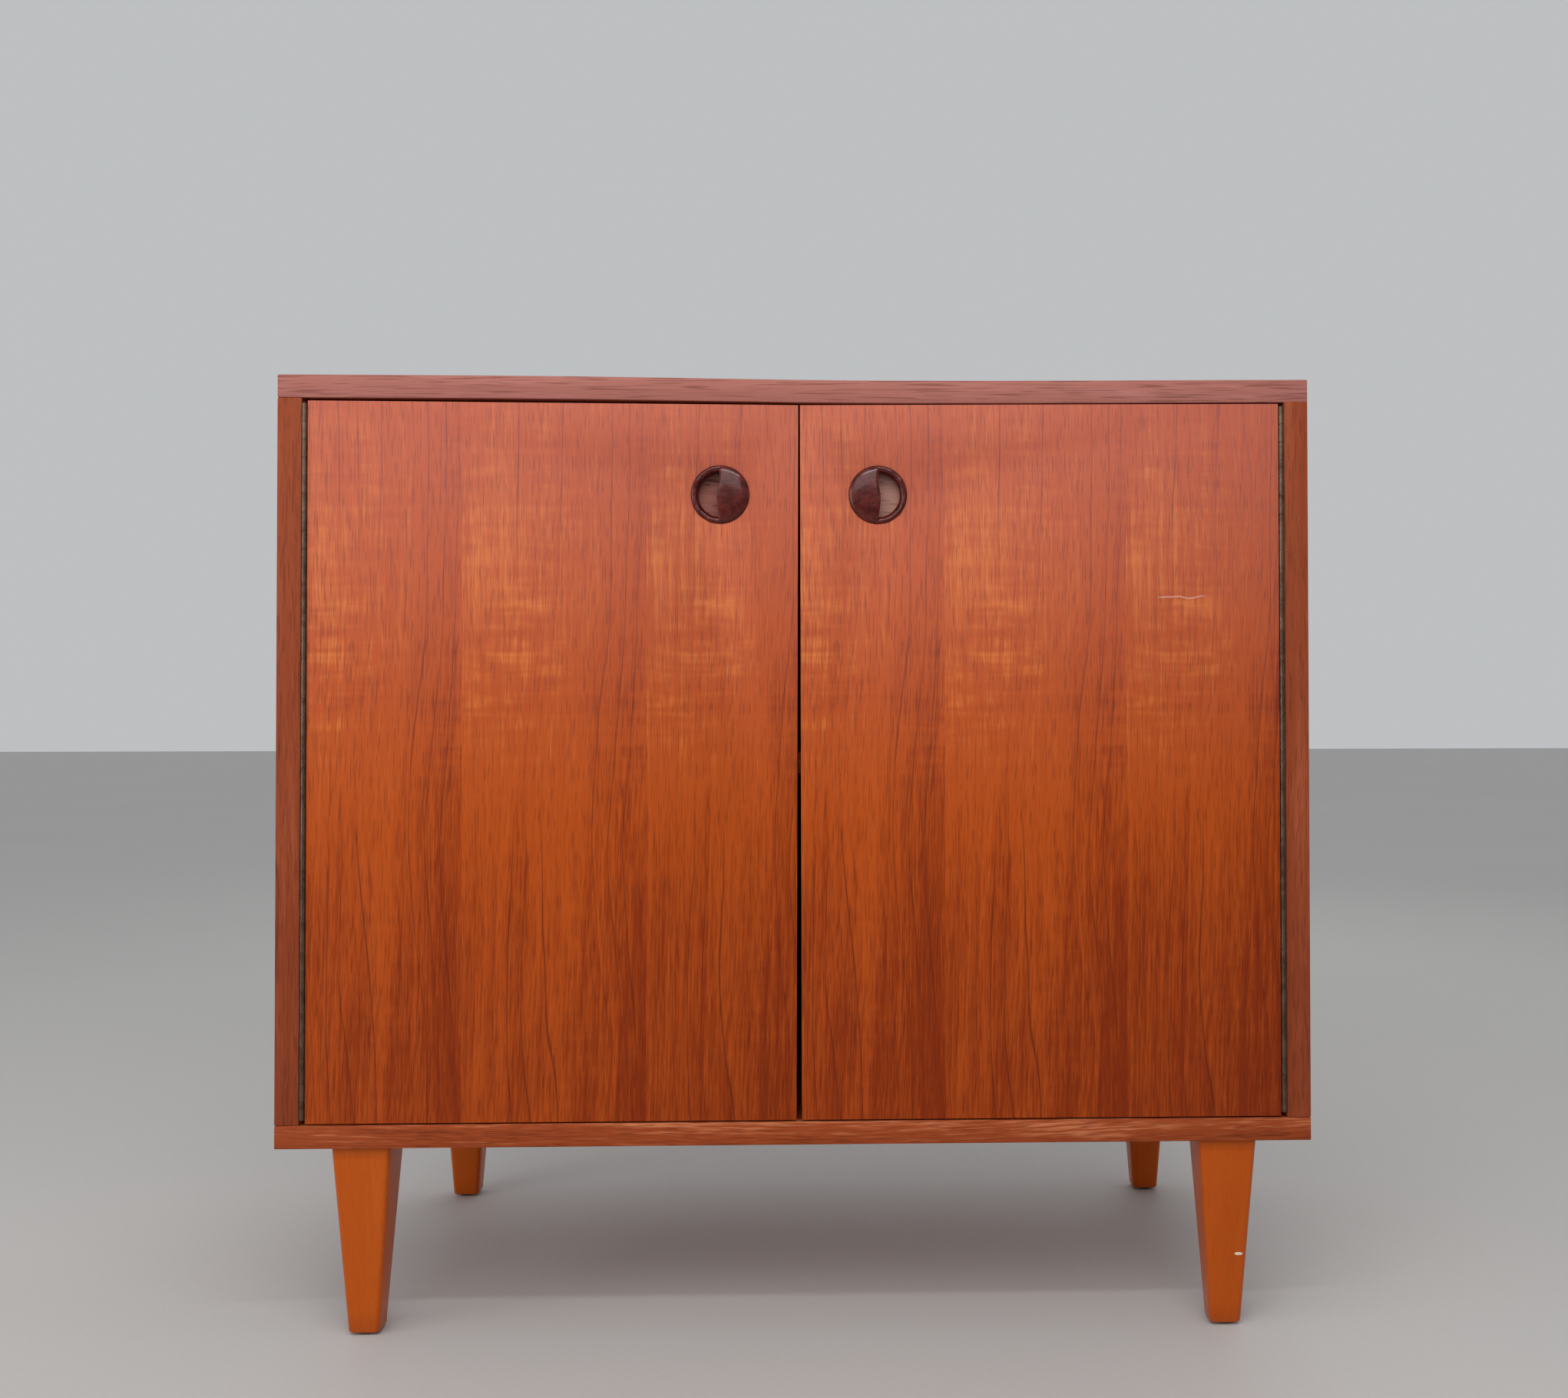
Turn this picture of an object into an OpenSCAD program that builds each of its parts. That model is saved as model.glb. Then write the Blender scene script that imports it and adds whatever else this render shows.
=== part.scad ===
// Sewing table: a low teak cabinet on four tapered legs, with two doors on full-length
// hinges, a hinged flap in the top and a lifting platform that carries the machine.
// Units are millimetres. X is the width, -Y the front, Z up from the floor.

/* [Cabinet] */
// Overall width of the cabinet
body_w = 850; // [780:10:1000]
// Depth of the cabinet, without hinge barrels and pulls
body_d = 430; // [420:10:520]
// Height of the top surface above the floor
table_h = 790; // [770:5:860]
// Thickness of the top and bottom boards and of the doors
board_t = 19; // [18:0.5:22]
// Thickness of the side boards
side_t = 20; // [18:0.5:24]
// Depth of the solid wood strips on the front edges
lip_t = 6; // [4:1:10]
// Thickness of the back board
back_t = 4; // [3:1:6]
// Width of the back board's seat in the other boards
back_seat = 10; // [8:1:14]
// Diameter of the hole for the machine's lead in the back board
lead_hole_d = 60; // [40:5:80]

/* [Legs] */
// Height of the cabinet's underside above the floor
leg_h = 158; // [140:2:180]
// Side of a leg at its top
leg_top_w = 48; // [40:1:54]
// Side of a leg at its foot
leg_foot_w = 25.5; // [20:0.5:30]
// Distance from the cabinet's side to the leg
leg_inset_x = 44; // [20:1:80]
// Distance from the cabinet's front or back to the leg
leg_inset_y = 6; // [4:1:30]
// Width of the bevel on a leg's edges
leg_bevel = 4; // [2:0.5:6]
// Height of a glide under a leg
glide_t = 2; // [2:0.5:4]

/* [Doors] */
// Space between a side board and the door, where the hinge barrel sits
hinge_gap = 5; // [5:0.5:7]
// Distance of the meeting line from the middle of the cabinet
meeting_x = 1.75; // [0:0.25:3]
// Gap between the doors at the top
meet_gap_top = 1.5; // [1.5:0.25:4]
// Gap between the doors at the bottom
meet_gap_foot = 4.5; // [1.5:0.25:6]
// Gap over the doors at the hinges
door_gap_hinge = 2.5; // [1.5:0.25:5]
// Gap over the doors at the meeting line
door_gap_meet = 5; // [1.5:0.25:6]
// Gap under the doors
door_gap_foot = 1.5; // [1:0.25:4]

/* [Finger pulls] */
// Outer diameter of a pull
pull_d = 48.5; // [40:0.5:56]
// Distance from the meeting line to the middle of a pull
pull_in = 65; // [45:1:90]
// Distance from the top of the cabinet to the middle of a pull
pull_down = 98; // [70:1:160]
// Depth of the bore in the door
pull_depth = 10; // [8:0.5:12]
// Height of the dome above the door
pull_proud = 5; // [3:0.5:7]

/* [Hinges] */
// Radius of a hinge barrel
barrel_r = 2.3; // [2:0.1:2.4]
// Radius of a hinge pin
hinge_pin_r = 1.2; // [1:0.1:1.4]
// Thickness of a hinge leaf
leaf_t = 1; // [0.8:0.1:1.2]
// Width of a hinge leaf, from the pin
leaf_w = 15; // [12:1:17]
// Length of a knuckle with its gap
knuckle_pitch = 15; // [12:1:25]
// Distance between hinge screws, as a whole number of knuckles
screw_knuckles = 4; // [3:1:6]

/* [Top flap] */
// Width of the opening for the machine
open_w = 470; // [420:10:520]
// Depth of the opening for the machine
open_d = 215; // [190:5:240]
// Distance from the front of the cabinet to the opening
open_y = 90; // [80:5:120]
// Gap around the flap
flap_gap = 1; // [0.75:0.25:2]
// Diameter of the finger hole in the flap
finger_d = 25; // [20:1:30]

/* [Lift] */
// Height of the stowed platform's top over the cabinet's inner floor
stow_h = 301; // [290:1:310]
// Thickness of the platform
plat_t = 17; // [16:0.5:19]
// Depth of the platform
plat_d = 320; // [300:5:330]
// Length of a lift arm between its pivots
arm_l = 150; // [140:1:152]
// Angle of the stowed arms below the horizontal
arm_rest = 50; // [45:1:52]
// Distance between the front and the rear pivots
arm_gap = 182; // [182:1:190]
// Width of a lift arm
arm_w = 25; // [20:1:26]
// Thickness of a lift arm
arm_t = 5; // [4:0.5:5]
// Height of the platform's pivots over its top
pivot_up = 22; // [18:1:26]
// Radius of the lift's pivot pins
pivot_r = 4; // [3:0.5:5]

/* [Door fittings] */
// Height of the thread rack over the cabinet's inner floor
rack_z = 110; // [80:5:150]
// Number of thread pegs
pegs = 7; // [4:1:8]
// Height of the tray over the cabinet's inner floor
tray_z = 70; // [50:5:120]
// Depth of the tray and of the rack
fitting_d = 62; // [50:1:70]

/* [Hidden] */
$fn = 64;
e = 0.01;
slip = 0.05;                                   // radial play of a pin or screw in its hole
free = 0.3;                                    // gap between pieces that pass each other
teak = [0.66, 0.33, 0.14];
teak_light = [0.72, 0.42, 0.28];
steel = [0.62, 0.62, 0.6];
bronze = [0.42, 0.34, 0.28];
dark_wood = [0.33, 0.12, 0.09];

// Cabinet planes
front_y = -(body_d - pull_proud) / 2;
back_y = front_y + body_d;
floor_z = leg_h + board_t;                     // inner floor
roof_z = table_h - board_t;                    // underside of the top
inner_x = body_w / 2 - side_t;
inner_h = roof_z - floor_z;
seat_deep = back_seat - 2;                     // how far the back board reaches under a board
dowel_r = 4;
dowel_l = 30;
dowel_in = 12;                                 // part of a dowel in the top or bottom board
dowel_y = [50, body_d / 2, body_d - 50];

// Doors and hinges
axis_x = inner_x - hinge_gap / 2;
door_edge = inner_x - hinge_gap;
door_in_y = front_y + board_t;
leaf_h = floor(inner_h / knuckle_pitch - 0.3) * knuckle_pitch;
leaf_z = floor_z + (inner_h - leaf_h) / 2;
pull_z = table_h - pull_down;
pull_wall = 5;
catch_x = 45;
catch_size = [46, 28, 13];
catch_plate = [40, 1.4, 12];

// Flap
flap_w = open_w - 2 * flap_gap;
flap_hinge_y = front_y + open_y + open_d - hinge_gap / 2;
flap_leaf_l = floor(flap_w / knuckle_pitch - 0.3) * knuckle_pitch;
batten = [22, 15];
batten_in = 8;                                 // how far a batten reaches into the opening

// Lift, from the side board inwards
bracket_t = 3;
arm_x = inner_x - bracket_t - 0.5 - arm_t;     // inner face of an arm
head_t = 2.7;
end_plate_t = 3;
end_plate_x = arm_x - head_t - 1;              // outer face of an end plate
plat_x = end_plate_x - end_plate_t;            // half width of the platform
plat_z = floor_z + stow_h;                     // top of the stowed platform
plat_y = front_y + board_t + 5;
side_pivot_y = front_y + 46;
plat_pivot_y = side_pivot_y + arm_l * cos(arm_rest);
plat_pivot_z = plat_z + pivot_up;
side_pivot_z = plat_pivot_z + arm_l * sin(arm_rest);
bracket = [32, 60];
cleat = [18, 200, 30];

// Door fittings
fit_wall = 8;
fit_w = 330;
fit_x = (door_edge + meeting_x) / 2;           // middle of a door

// Mirrored copy for the right side
module right() { mirror([1, 0, 0]) children(); }

// Wood screw with a countersunk head at the origin, pointing down -Z
module screw(length, grow = 0) {
    translate([0, 0, -1]) cylinder(h = 1, r1 = 1.5 + grow, r2 = 2.5 + grow);
    translate([0, 0, -length - grow]) cylinder(h = length - 1 + 2 * grow, r = 1.5 + grow);
}

// Places children along Z at the screw stations of a hinge of the given length
module stations(length) {
    step = screw_knuckles * knuckle_pitch;
    count = floor((length - knuckle_pitch) / step);
    for (i = [0 : count]) translate([0, 0, (length - count * step) / 2 + i * step]) children();
}

// Hinge leaf on the -X side of a Z axis, wood behind it; own knuckles start at `first`
module hinge_leaf(length, first) {
    difference() {
        union() {
            translate([-hinge_gap / 2, barrel_r + free, 0])
                cube([leaf_t, leaf_w - barrel_r - free, length]);
            for (z = [first * knuckle_pitch : 2 * knuckle_pitch : length - 1])
                translate([0, 0, z]) knuckle();
        }
        translate([0, 0, -e]) cylinder(h = length + 2 * e, r = hinge_pin_r + slip);
        stations(length) hinge_screw_at() screw(2, slip);
    }
}

// One knuckle with the web that joins it to its leaf
module knuckle() {
    h = knuckle_pitch - free;
    translate([0, 0, free / 2]) {
        cylinder(h = h, r = barrel_r);
        translate([-hinge_gap / 2, 0, 0]) cube([leaf_t, barrel_r + 2 * free, h]);
    }
}

// Turns a screw so that it enters the wood on the -X side of a hinge
module hinge_screw_at() {
    translate([-hinge_gap / 2 + leaf_t, (leaf_w + barrel_r) / 2, 0])
        rotate([0, 90, 0]) children();
}

module hinge_screws(length, grow = 0) { stations(length) hinge_screw_at() screw(13, grow); }

module hinge_pin(length) { cylinder(h = length, r = hinge_pin_r); }

// Puts a hinge that is drawn on the Z axis at the left door's edge
module at_door_hinge() { translate([-axis_x, front_y, leaf_z]) children(); }

// Lays a hinge down along X at the back of the flap, barrel level with the top
module at_flap_hinge() {
    translate([-flap_leaf_l / 2, flap_hinge_y, table_h])
        rotate([-90, 0, 0]) rotate([0, 90, 0]) children();
}

// Cabinet boards
module back_seat_cut() {
    translate([-inner_x - seat_deep, back_y - back_t, floor_z - seat_deep])
        cube([2 * (inner_x + seat_deep), back_t + e, inner_h + 2 * seat_deep]);
}

module dowels(grow = 0) {
    for (s = [-1, 1], y = dowel_y) translate([s * (inner_x + side_t / 2), front_y + y, 0]) {
        translate([0, 0, roof_z + dowel_in - dowel_l - grow])
            cylinder(h = dowel_l + 2 * grow, r = dowel_r + grow);
        translate([0, 0, floor_z - dowel_in - grow])
            cylinder(h = dowel_l + 2 * grow, r = dowel_r + grow);
    }
}

module top_panel() color(teak) difference() {
    translate([-body_w / 2, front_y + lip_t, roof_z])
        cube([body_w, body_d - lip_t, board_t]);
    translate([-open_w / 2, front_y + open_y, roof_z - e])
        cube([open_w, open_d, board_t + 2 * e]);
    back_seat_cut();
    dowels(slip);
    back_screw_set(slip);
    cabinet_screw_set(slip);
    at_flap_hinge() hinge_screws(flap_leaf_l, slip);
}

module bottom_panel() color(teak) difference() {
    translate([-body_w / 2, front_y + lip_t, leg_h]) cube([body_w, body_d - lip_t, board_t]);
    back_seat_cut();
    back_screw_set(slip);
    dowels(slip);
    at_legs() translate([0, 0, leg_h - e]) cylinder(h = insert_h + 2 * e, r = insert_r + slip);
}

module side_panel() color(teak) difference() {
    translate([-body_w / 2, front_y + lip_t, floor_z]) cube([side_t, body_d - lip_t, inner_h]);
    back_seat_cut();
    back_screw_set(slip);
    dowels(slip);
    cabinet_screw_set(slip);
    at_door_hinge() hinge_screws(leaf_h, slip);
}

module back_panel() color(teak_light) difference() {
    translate([-inner_x - seat_deep, back_y - back_t, floor_z - seat_deep])
        cube([2 * (inner_x + seat_deep), back_t, inner_h + 2 * seat_deep]);
    translate([inner_x - 90, back_y - back_t - e, floor_z + 90]) rotate([-90, 0, 0])
        cylinder(h = back_t + 2 * e, d = lead_hole_d);
    back_screw_set(slip);
}

// Screws of the back board, along all four edges
module back_screw_set(grow = 0) {
    edge = seat_deep / 2;
    for (i = [-3 : 3], z = [floor_z - edge, roof_z + edge])
        translate([i * inner_x / 3.2, back_y, z]) rotate([-90, 0, 0]) screw(14, grow);
    for (s = [-1, 1], i = [-1 : 1])
        translate([s * (inner_x + edge), back_y, floor_z + inner_h / 2 + i * inner_h / 3.5])
            rotate([-90, 0, 0]) screw(14, grow);
}

module back_panel_screws() color(steel) back_screw_set();

module top_lipping() color(teak_light)
    translate([-body_w / 2, front_y, roof_z]) cube([body_w, lip_t, board_t]);

module bottom_lipping() color(teak_light)
    translate([-body_w / 2, front_y, leg_h]) cube([body_w, lip_t, board_t]);

module side_lipping() color(teak_light)
    translate([-body_w / 2, front_y, floor_z]) cube([side_t, lip_t, inner_h]);

module carcass_dowels() color(teak_light) dowels();

// Legs
leg_x = body_w / 2 - leg_inset_x - leg_top_w / 2;
leg_ys = [front_y + leg_inset_y + leg_top_w / 2, back_y - leg_inset_y - leg_top_w / 2];
insert_h = 13;
insert_r = 6;
bolt_r = 4;
bolt_in = 40;                                  // length of a bolt inside a leg
glide_r = 9;
glide_pin = [1.4, 14];

module at_legs() { for (s = [-1, 1], y = leg_ys) translate([s * leg_x, y, 0]) children(); }

// Wedge that is w0 wide at the foot and w1 at the top, seen along Y
module wedge(w0, w1, deep) {
    rotate([90, 0, 0]) linear_extrude(deep, center = true)
        polygon([[-w0 / 2, glide_t], [w0 / 2, glide_t], [w1 / 2, leg_h], [-w1 / 2, leg_h]]);
}

module leg(s, y) color(teak) translate([s * leg_x, y, 0]) difference() {
    intersection() {
        wedge(leg_foot_w, leg_top_w, leg_top_w);
        rotate([0, 0, 90]) wedge(leg_foot_w, leg_top_w, leg_top_w);
        for (a = [45, 135]) rotate([0, 0, a])
            wedge(bevelled(leg_foot_w), bevelled(leg_top_w), 2 * leg_top_w);
    }
    translate([0, 0, leg_h - bolt_in - slip]) cylinder(h = bolt_in + 1, r = bolt_r + slip);
    translate([0, 0, glide_t - e]) cylinder(h = glide_pin[1] + slip, r = glide_pin[0] + slip);
}

// Width of a bevelled square across its corners
function bevelled(w) = (w - leg_bevel) * sqrt(2);

module leg_hanger_bolts() color(steel) at_legs()
    translate([0, 0, leg_h - bolt_in]) cylinder(h = bolt_in + insert_h, r = bolt_r);

module leg_inserts() color(steel) at_legs() translate([0, 0, leg_h]) difference() {
    cylinder(h = insert_h, r = insert_r);
    translate([0, 0, -e]) cylinder(h = insert_h + 2 * e, r = bolt_r + slip);
}

module leg_glides() color([0.2, 0.2, 0.2]) at_legs() {
    cylinder(h = glide_t, r = glide_r);
    cylinder(h = glide_t + glide_pin[1], r = glide_pin[0]);
}

// Strips that carry the flap, and cleats that the stowed platform rests on
module flap_battens() color(teak_light) translate([0, 0, roof_z - batten[1]]) difference() {
    union() {
        for (s = [-1, 1]) translate([s * (open_w / 2 - batten_in + batten[0] / 2)
            - batten[0] / 2, front_y + open_y, 0]) cube([batten[0], open_d, batten[1]]);
        translate([-open_w / 2 + batten_in - batten[0], front_y + open_y - batten[0]
            + batten_in - free, 0]) cube([open_w - 2 * batten_in + 2 * batten[0],
            batten[0] - batten_in, batten[1]]);
    }
    translate([0, 0, batten[1] - roof_z]) cabinet_screw_set(slip);
}

module platform_cleats() color(teak_light) difference() {
    for (s = [-1, 1]) translate([s * (inner_x - cleat[0] / 2) - cleat[0] / 2,
        front_y + 90, plat_z - plat_t - cleat[2]]) cube(cleat);
    cabinet_screw_set(slip);
}

// Screws of the battens, the cleats, the catches and the lift brackets
module cabinet_screw_set(grow = 0) {
    for (s = [-1, 1]) {
        for (y = [30, open_d - 30]) translate([s * (open_w / 2 + 7), front_y + open_y + y,
            roof_z - batten[1]]) rotate([180, 0, 0]) screw(28, grow);
        for (y = [115, 265]) translate([s * (inner_x - cleat[0]), front_y + y,
            plat_z - plat_t - cleat[2] / 2]) rotate([0, -s * 90, 0]) screw(30, grow);
        for (y = [0, arm_gap], z = [-1, 1]) translate([s * (inner_x - bracket_t),
            side_pivot_y + y, side_pivot_z + z * 22]) rotate([0, -s * 90, 0]) screw(18, grow);
        for (x = [-16, 16]) translate([s * catch_x + x, door_in_y + catch_size[1] / 2 + 6,
            roof_z - catch_size[2]]) rotate([180, 0, 0]) screw(26, grow);
    }
    for (x = [-150, 0, 150]) translate([x, front_y + open_y - 7, roof_z - batten[1]])
        rotate([180, 0, 0]) screw(28, grow);
}

module cabinet_screws() color(steel) cabinet_screw_set();

module door_catches() color([0.25, 0.2, 0.18]) difference() {
    for (s = [-1, 1]) translate([s * catch_x - catch_size[0] / 2,
        door_in_y + catch_plate[1] + free, roof_z - catch_size[2]]) cube(catch_size);
    cabinet_screw_set(slip);
}

module catch_plate() color(steel)
    translate([-catch_x - catch_plate[0] / 2, door_in_y, roof_z - 19]) cube(catch_plate);

// Doors. The outline allows for doors that have dropped a little at the meeting line
module door_outline(side) {
    meet = -side * meeting_x;
    polygon([[-door_edge, floor_z + door_gap_foot],
        [meet_edge(meet, meet_gap_foot), floor_z + door_gap_foot],
        [meet_edge(meet, meet_gap_top), roof_z - door_gap_meet],
        [-door_edge, roof_z - door_gap_hinge]]);
}

// Meeting edge of a left door, given the meeting line and the gap there
function meet_edge(meet, gap) = meet - gap / 2;

// Left-handed door; `side` is -1 for the left door and 1 for the mirrored right one
module door(side) difference() {
    color(teak) translate([0, front_y + board_t, 0]) rotate([90, 0, 0])
        linear_extrude(board_t) door_outline(side);
    at_pull(side) translate([0, 0, -pull_depth]) cylinder(h = pull_depth + 1, r = pull_d / 2);
    pull_screw(side, slip);
    at_door_hinge() right() hinge_screws(leaf_h, slip);
    fitting_screw_set(slip);
}

// Axes of a pull: Z points out of the door's face, X to the meeting line
module at_pull(side) {
    translate([-side * meeting_x - pull_in, front_y, pull_z]) rotate([90, 0, 0]) children();
}

// Finger pull: a round rim, a domed half towards the meeting line and a hollow half
module finger_pull(side) color(dark_wood) difference() {
    at_pull(side) {
        rotate_extrude() polygon([[pull_r - pull_wall, -pull_depth], [pull_r, -pull_depth],
            [pull_r, 0], [pull_r - 0.8, 1.2], [pull_r - 2.2, 1.8], [pull_r - 3.8, 1.2],
            [pull_r - pull_wall, 0]]);
        intersection() {
            translate([0, 0, pull_proud - dome_r]) sphere(r = dome_r, $fn = 96);
            translate([0, 0, -pull_depth]) cylinder(h = 2 * pull_depth, r = pull_r);
            translate([-1, -pull_d / 2, -pull_depth]) cube([pull_d, pull_d, 2 * pull_depth]);
        }
    }
    pull_screw(side, slip);
}

pull_r = pull_d / 2 - slip;
dome_r = (pull_r * pull_r + pull_proud * pull_proud) / (2 * pull_proud);

// Screw that holds a pull, from the inside of the door
module pull_screw(side, grow = 0) {
    translate([-side * meeting_x - pull_in + 9, front_y + board_t, pull_z])
        rotate([-90, 0, 0]) screw(16, grow);
}

// Thread rack on the left door
module at_rack() { translate([-fit_x - fit_w / 2, door_in_y, floor_z + rack_z]) children(); }

module thread_rack() color(teak_light) difference() {
    at_rack() {
        cube([fit_w, fit_wall, 60]);
        cube([fit_w, fitting_d, fit_wall]);
    }
    at_pegs() cylinder(h = 6 + e, r = peg_r + slip);
    fitting_screw_set(slip);
}

peg_r = 3;
peg_h = 44;

module at_pegs() {
    at_rack() for (i = [1 : pegs]) translate([i * fit_w / (pegs + 1), fitting_d / 2 + 4,
        fit_wall - 6]) children();
}

module thread_pegs() color(teak_light) at_pegs() cylinder(h = peg_h, r = peg_r);

// Screws of the rack and of the tray, from inside the cabinet into the door
module fitting_screw_set(grow = 0) {
    for (x = [-120, 0, 120]) translate([-fit_x + x, door_in_y + fit_wall, floor_z])
        for (z = [rack_z + 40]) translate([0, 0, z]) rotate([-90, 0, 0]) screw(20, grow);
}

// Tray on the right door, drawn on the left
module tray() color(teak_light) difference() {
    translate([-fit_x - fit_w / 2, door_in_y, floor_z + tray_z])
        cube([fit_w, fitting_d, rack_z + 60 - tray_z]);
    translate([-fit_x - fit_w / 2 + fit_wall, door_in_y + fit_wall,
        floor_z + tray_z + fit_wall])
        cube([fit_w - 2 * fit_wall, fitting_d - 2 * fit_wall, rack_z]);
    translate([-fit_x - fit_w / 2 - e, door_in_y + fit_wall, floor_z + tray_z + 50])
        cube([fit_w + 2 * e, fitting_d, rack_z]);
    fitting_screw_set(slip);
}

// Flap
module top_flap() color(teak) difference() {
    translate([-flap_w / 2, front_y + open_y + flap_gap, roof_z])
        cube([flap_w, open_d - flap_gap - hinge_gap, board_t]);
    translate([0, front_y + open_y + 32, roof_z - e])
        cylinder(h = board_t + 2 * e, d = finger_d);
    at_flap_hinge() right() hinge_screws(flap_leaf_l, slip);
}

// Lift
module at_side_pivots() {
    for (s = [-1, 1], y = [0, arm_gap])
        translate([s * inner_x, side_pivot_y + y, side_pivot_z]) rotate([0, -s * 90, 0])
            children();
}

module at_platform_pivots() {
    for (s = [-1, 1], y = [0, arm_gap])
        translate([s * end_plate_x, plat_pivot_y + y, plat_pivot_z]) rotate([0, s * 90, 0])
            children();
}

module lift_pivot_brackets() color(steel) difference() {
    at_side_pivots() translate([-bracket[1] / 2, -bracket[0] / 2, 0])
        cube([bracket[1], bracket[0], bracket_t]);
    at_side_pivots() translate([0, 0, -e])
        cylinder(h = bracket_t + 2 * e, r = pivot_r + slip);
    cabinet_screw_set(slip);
}

module lift_pivot_pins() color(steel) at_side_pivots() {
    cylinder(h = inner_x - arm_x + free, r = pivot_r);
    translate([0, 0, inner_x - arm_x + free]) cylinder(h = head_t - free, r = 7);
}

// Pair of arms whose side pivots lie `back` behind the front ones
module arms(back) color(steel) for (s = [-1, 1])
    translate([s * (arm_x + arm_t / 2), side_pivot_y + back, side_pivot_z])
        rotate([-arm_rest, 0, 0]) rotate([0, 90, 0]) difference() {
            union() {
                for (y = [0, arm_l]) translate([0, y, -arm_t / 2])
                    cylinder(h = arm_t, d = arm_w);
                translate([-arm_w / 2, 0, -arm_t / 2]) cube([arm_w, arm_l, arm_t]);
            }
            for (y = [0, arm_l]) translate([0, y, -arm_t / 2 - e])
                cylinder(h = arm_t + 2 * e, r = pivot_r + slip);
        }

module lift_platform() color(teak) difference() {
    translate([-plat_x, plat_y, plat_z - plat_t]) cube([2 * plat_x, plat_d, plat_t]);
    plate_screw_set(slip);
}

module platform_end_plates() color(steel) difference() {
    for (s = [-1, 1]) translate([s * (plat_x + end_plate_t / 2) - end_plate_t / 2,
        plat_pivot_y - 18, plat_z - plat_t]) cube([end_plate_t, arm_gap + 36,
        plat_t + pivot_up + 14]);
    at_platform_pivots() translate([0, 0, -end_plate_t - e])
        cylinder(h = end_plate_t + 2 * e, r = pivot_r + slip);
    plate_screw_set(slip);
}

module plate_screw_set(grow = 0) {
    for (s = [-1, 1], i = [0 : 3]) translate([s * end_plate_x,
        plat_pivot_y + i * arm_gap / 3, plat_z - plat_t / 2]) rotate([0, s * 90, 0])
            screw(25, grow);
}

module platform_plate_screws() color(steel) plate_screw_set();

module platform_pivot_pins() color(steel) at_platform_pivots() {
    translate([0, 0, -end_plate_t]) cylinder(h = end_plate_t + head_t + 1 + arm_t + free,
        r = pivot_r);
    cylinder(h = head_t + 1 - free, r = 7);
    translate([0, 0, head_t + 1 + arm_t + free]) cylinder(h = 2.5, r = 7);
}

top_panel();
bottom_panel();
side_panel();  // left_side_panel
right() side_panel();  // right_side_panel
back_panel();
back_panel_screws();
top_lipping();
bottom_lipping();
side_lipping();  // left_side_lipping
right() side_lipping();  // right_side_lipping
carcass_dowels();
leg(-1, leg_ys[0]);  // front_left_leg
leg(1, leg_ys[0]);  // front_right_leg
leg(-1, leg_ys[1]);  // rear_left_leg
leg(1, leg_ys[1]);  // rear_right_leg
leg_hanger_bolts();
leg_inserts();
leg_glides();
flap_battens();
platform_cleats();
cabinet_screws();
door_catches();
color(bronze) at_door_hinge() hinge_leaf(leaf_h, 0);  // left_hinge_frame_leaf
color(bronze) right() at_door_hinge() hinge_leaf(leaf_h, 0);  // right_hinge_frame_leaf
color(steel) at_door_hinge() hinge_pin(leaf_h);  // left_hinge_pin
color(steel) right() at_door_hinge() hinge_pin(leaf_h);  // right_hinge_pin
color(steel) at_door_hinge() hinge_screws(leaf_h);  // left_hinge_frame_screws
color(steel) right() at_door_hinge() hinge_screws(leaf_h);  // right_hinge_frame_screws
color(bronze) at_flap_hinge() hinge_leaf(flap_leaf_l, 0);  // flap_hinge_top_leaf
color(steel) at_flap_hinge() hinge_pin(flap_leaf_l);  // flap_hinge_pin
color(steel) at_flap_hinge() hinge_screws(flap_leaf_l);  // flap_hinge_top_screws
lift_pivot_brackets();
lift_pivot_pins();
door(-1);  // left_door
finger_pull(-1);  // left_finger_pull
color(bronze) at_door_hinge() right() hinge_leaf(leaf_h, 1);  // left_hinge_door_leaf
color(steel) at_door_hinge() right() hinge_screws(leaf_h);  // left_hinge_door_screws
catch_plate();  // left_catch_plate
color(steel) pull_screw(-1);  // left_pull_screw
thread_rack();
thread_pegs();
right() door(1);  // right_door
right() finger_pull(1);  // right_finger_pull
color(bronze) right() at_door_hinge() right() hinge_leaf(leaf_h, 1);  // right_hinge_door_leaf
color(steel) right() at_door_hinge() right() hinge_screws(leaf_h);  // right_hinge_door_screws
right() catch_plate();  // right_catch_plate
color(steel) right() pull_screw(1);  // right_pull_screw
right() tray();  // door_tray
top_flap();
color(bronze) at_flap_hinge() right() hinge_leaf(flap_leaf_l, 1);  // flap_hinge_leaf
color(steel) at_flap_hinge() right() hinge_screws(flap_leaf_l);  // flap_hinge_screws
arms(0);  // front_lift_arms
arms(arm_gap);  // rear_lift_arms
lift_platform();
platform_end_plates();
platform_plate_screws();
platform_pivot_pins();
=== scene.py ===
"""Looks of the sewing table: a teak cabinet on tapered legs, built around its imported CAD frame."""
import logging
import math
from dataclasses import dataclass, field
from enum import Enum, StrEnum
from typing import Callable, Iterable, Sequence

import bmesh
import bpy
from mathutils import Matrix, Vector, noise


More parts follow.
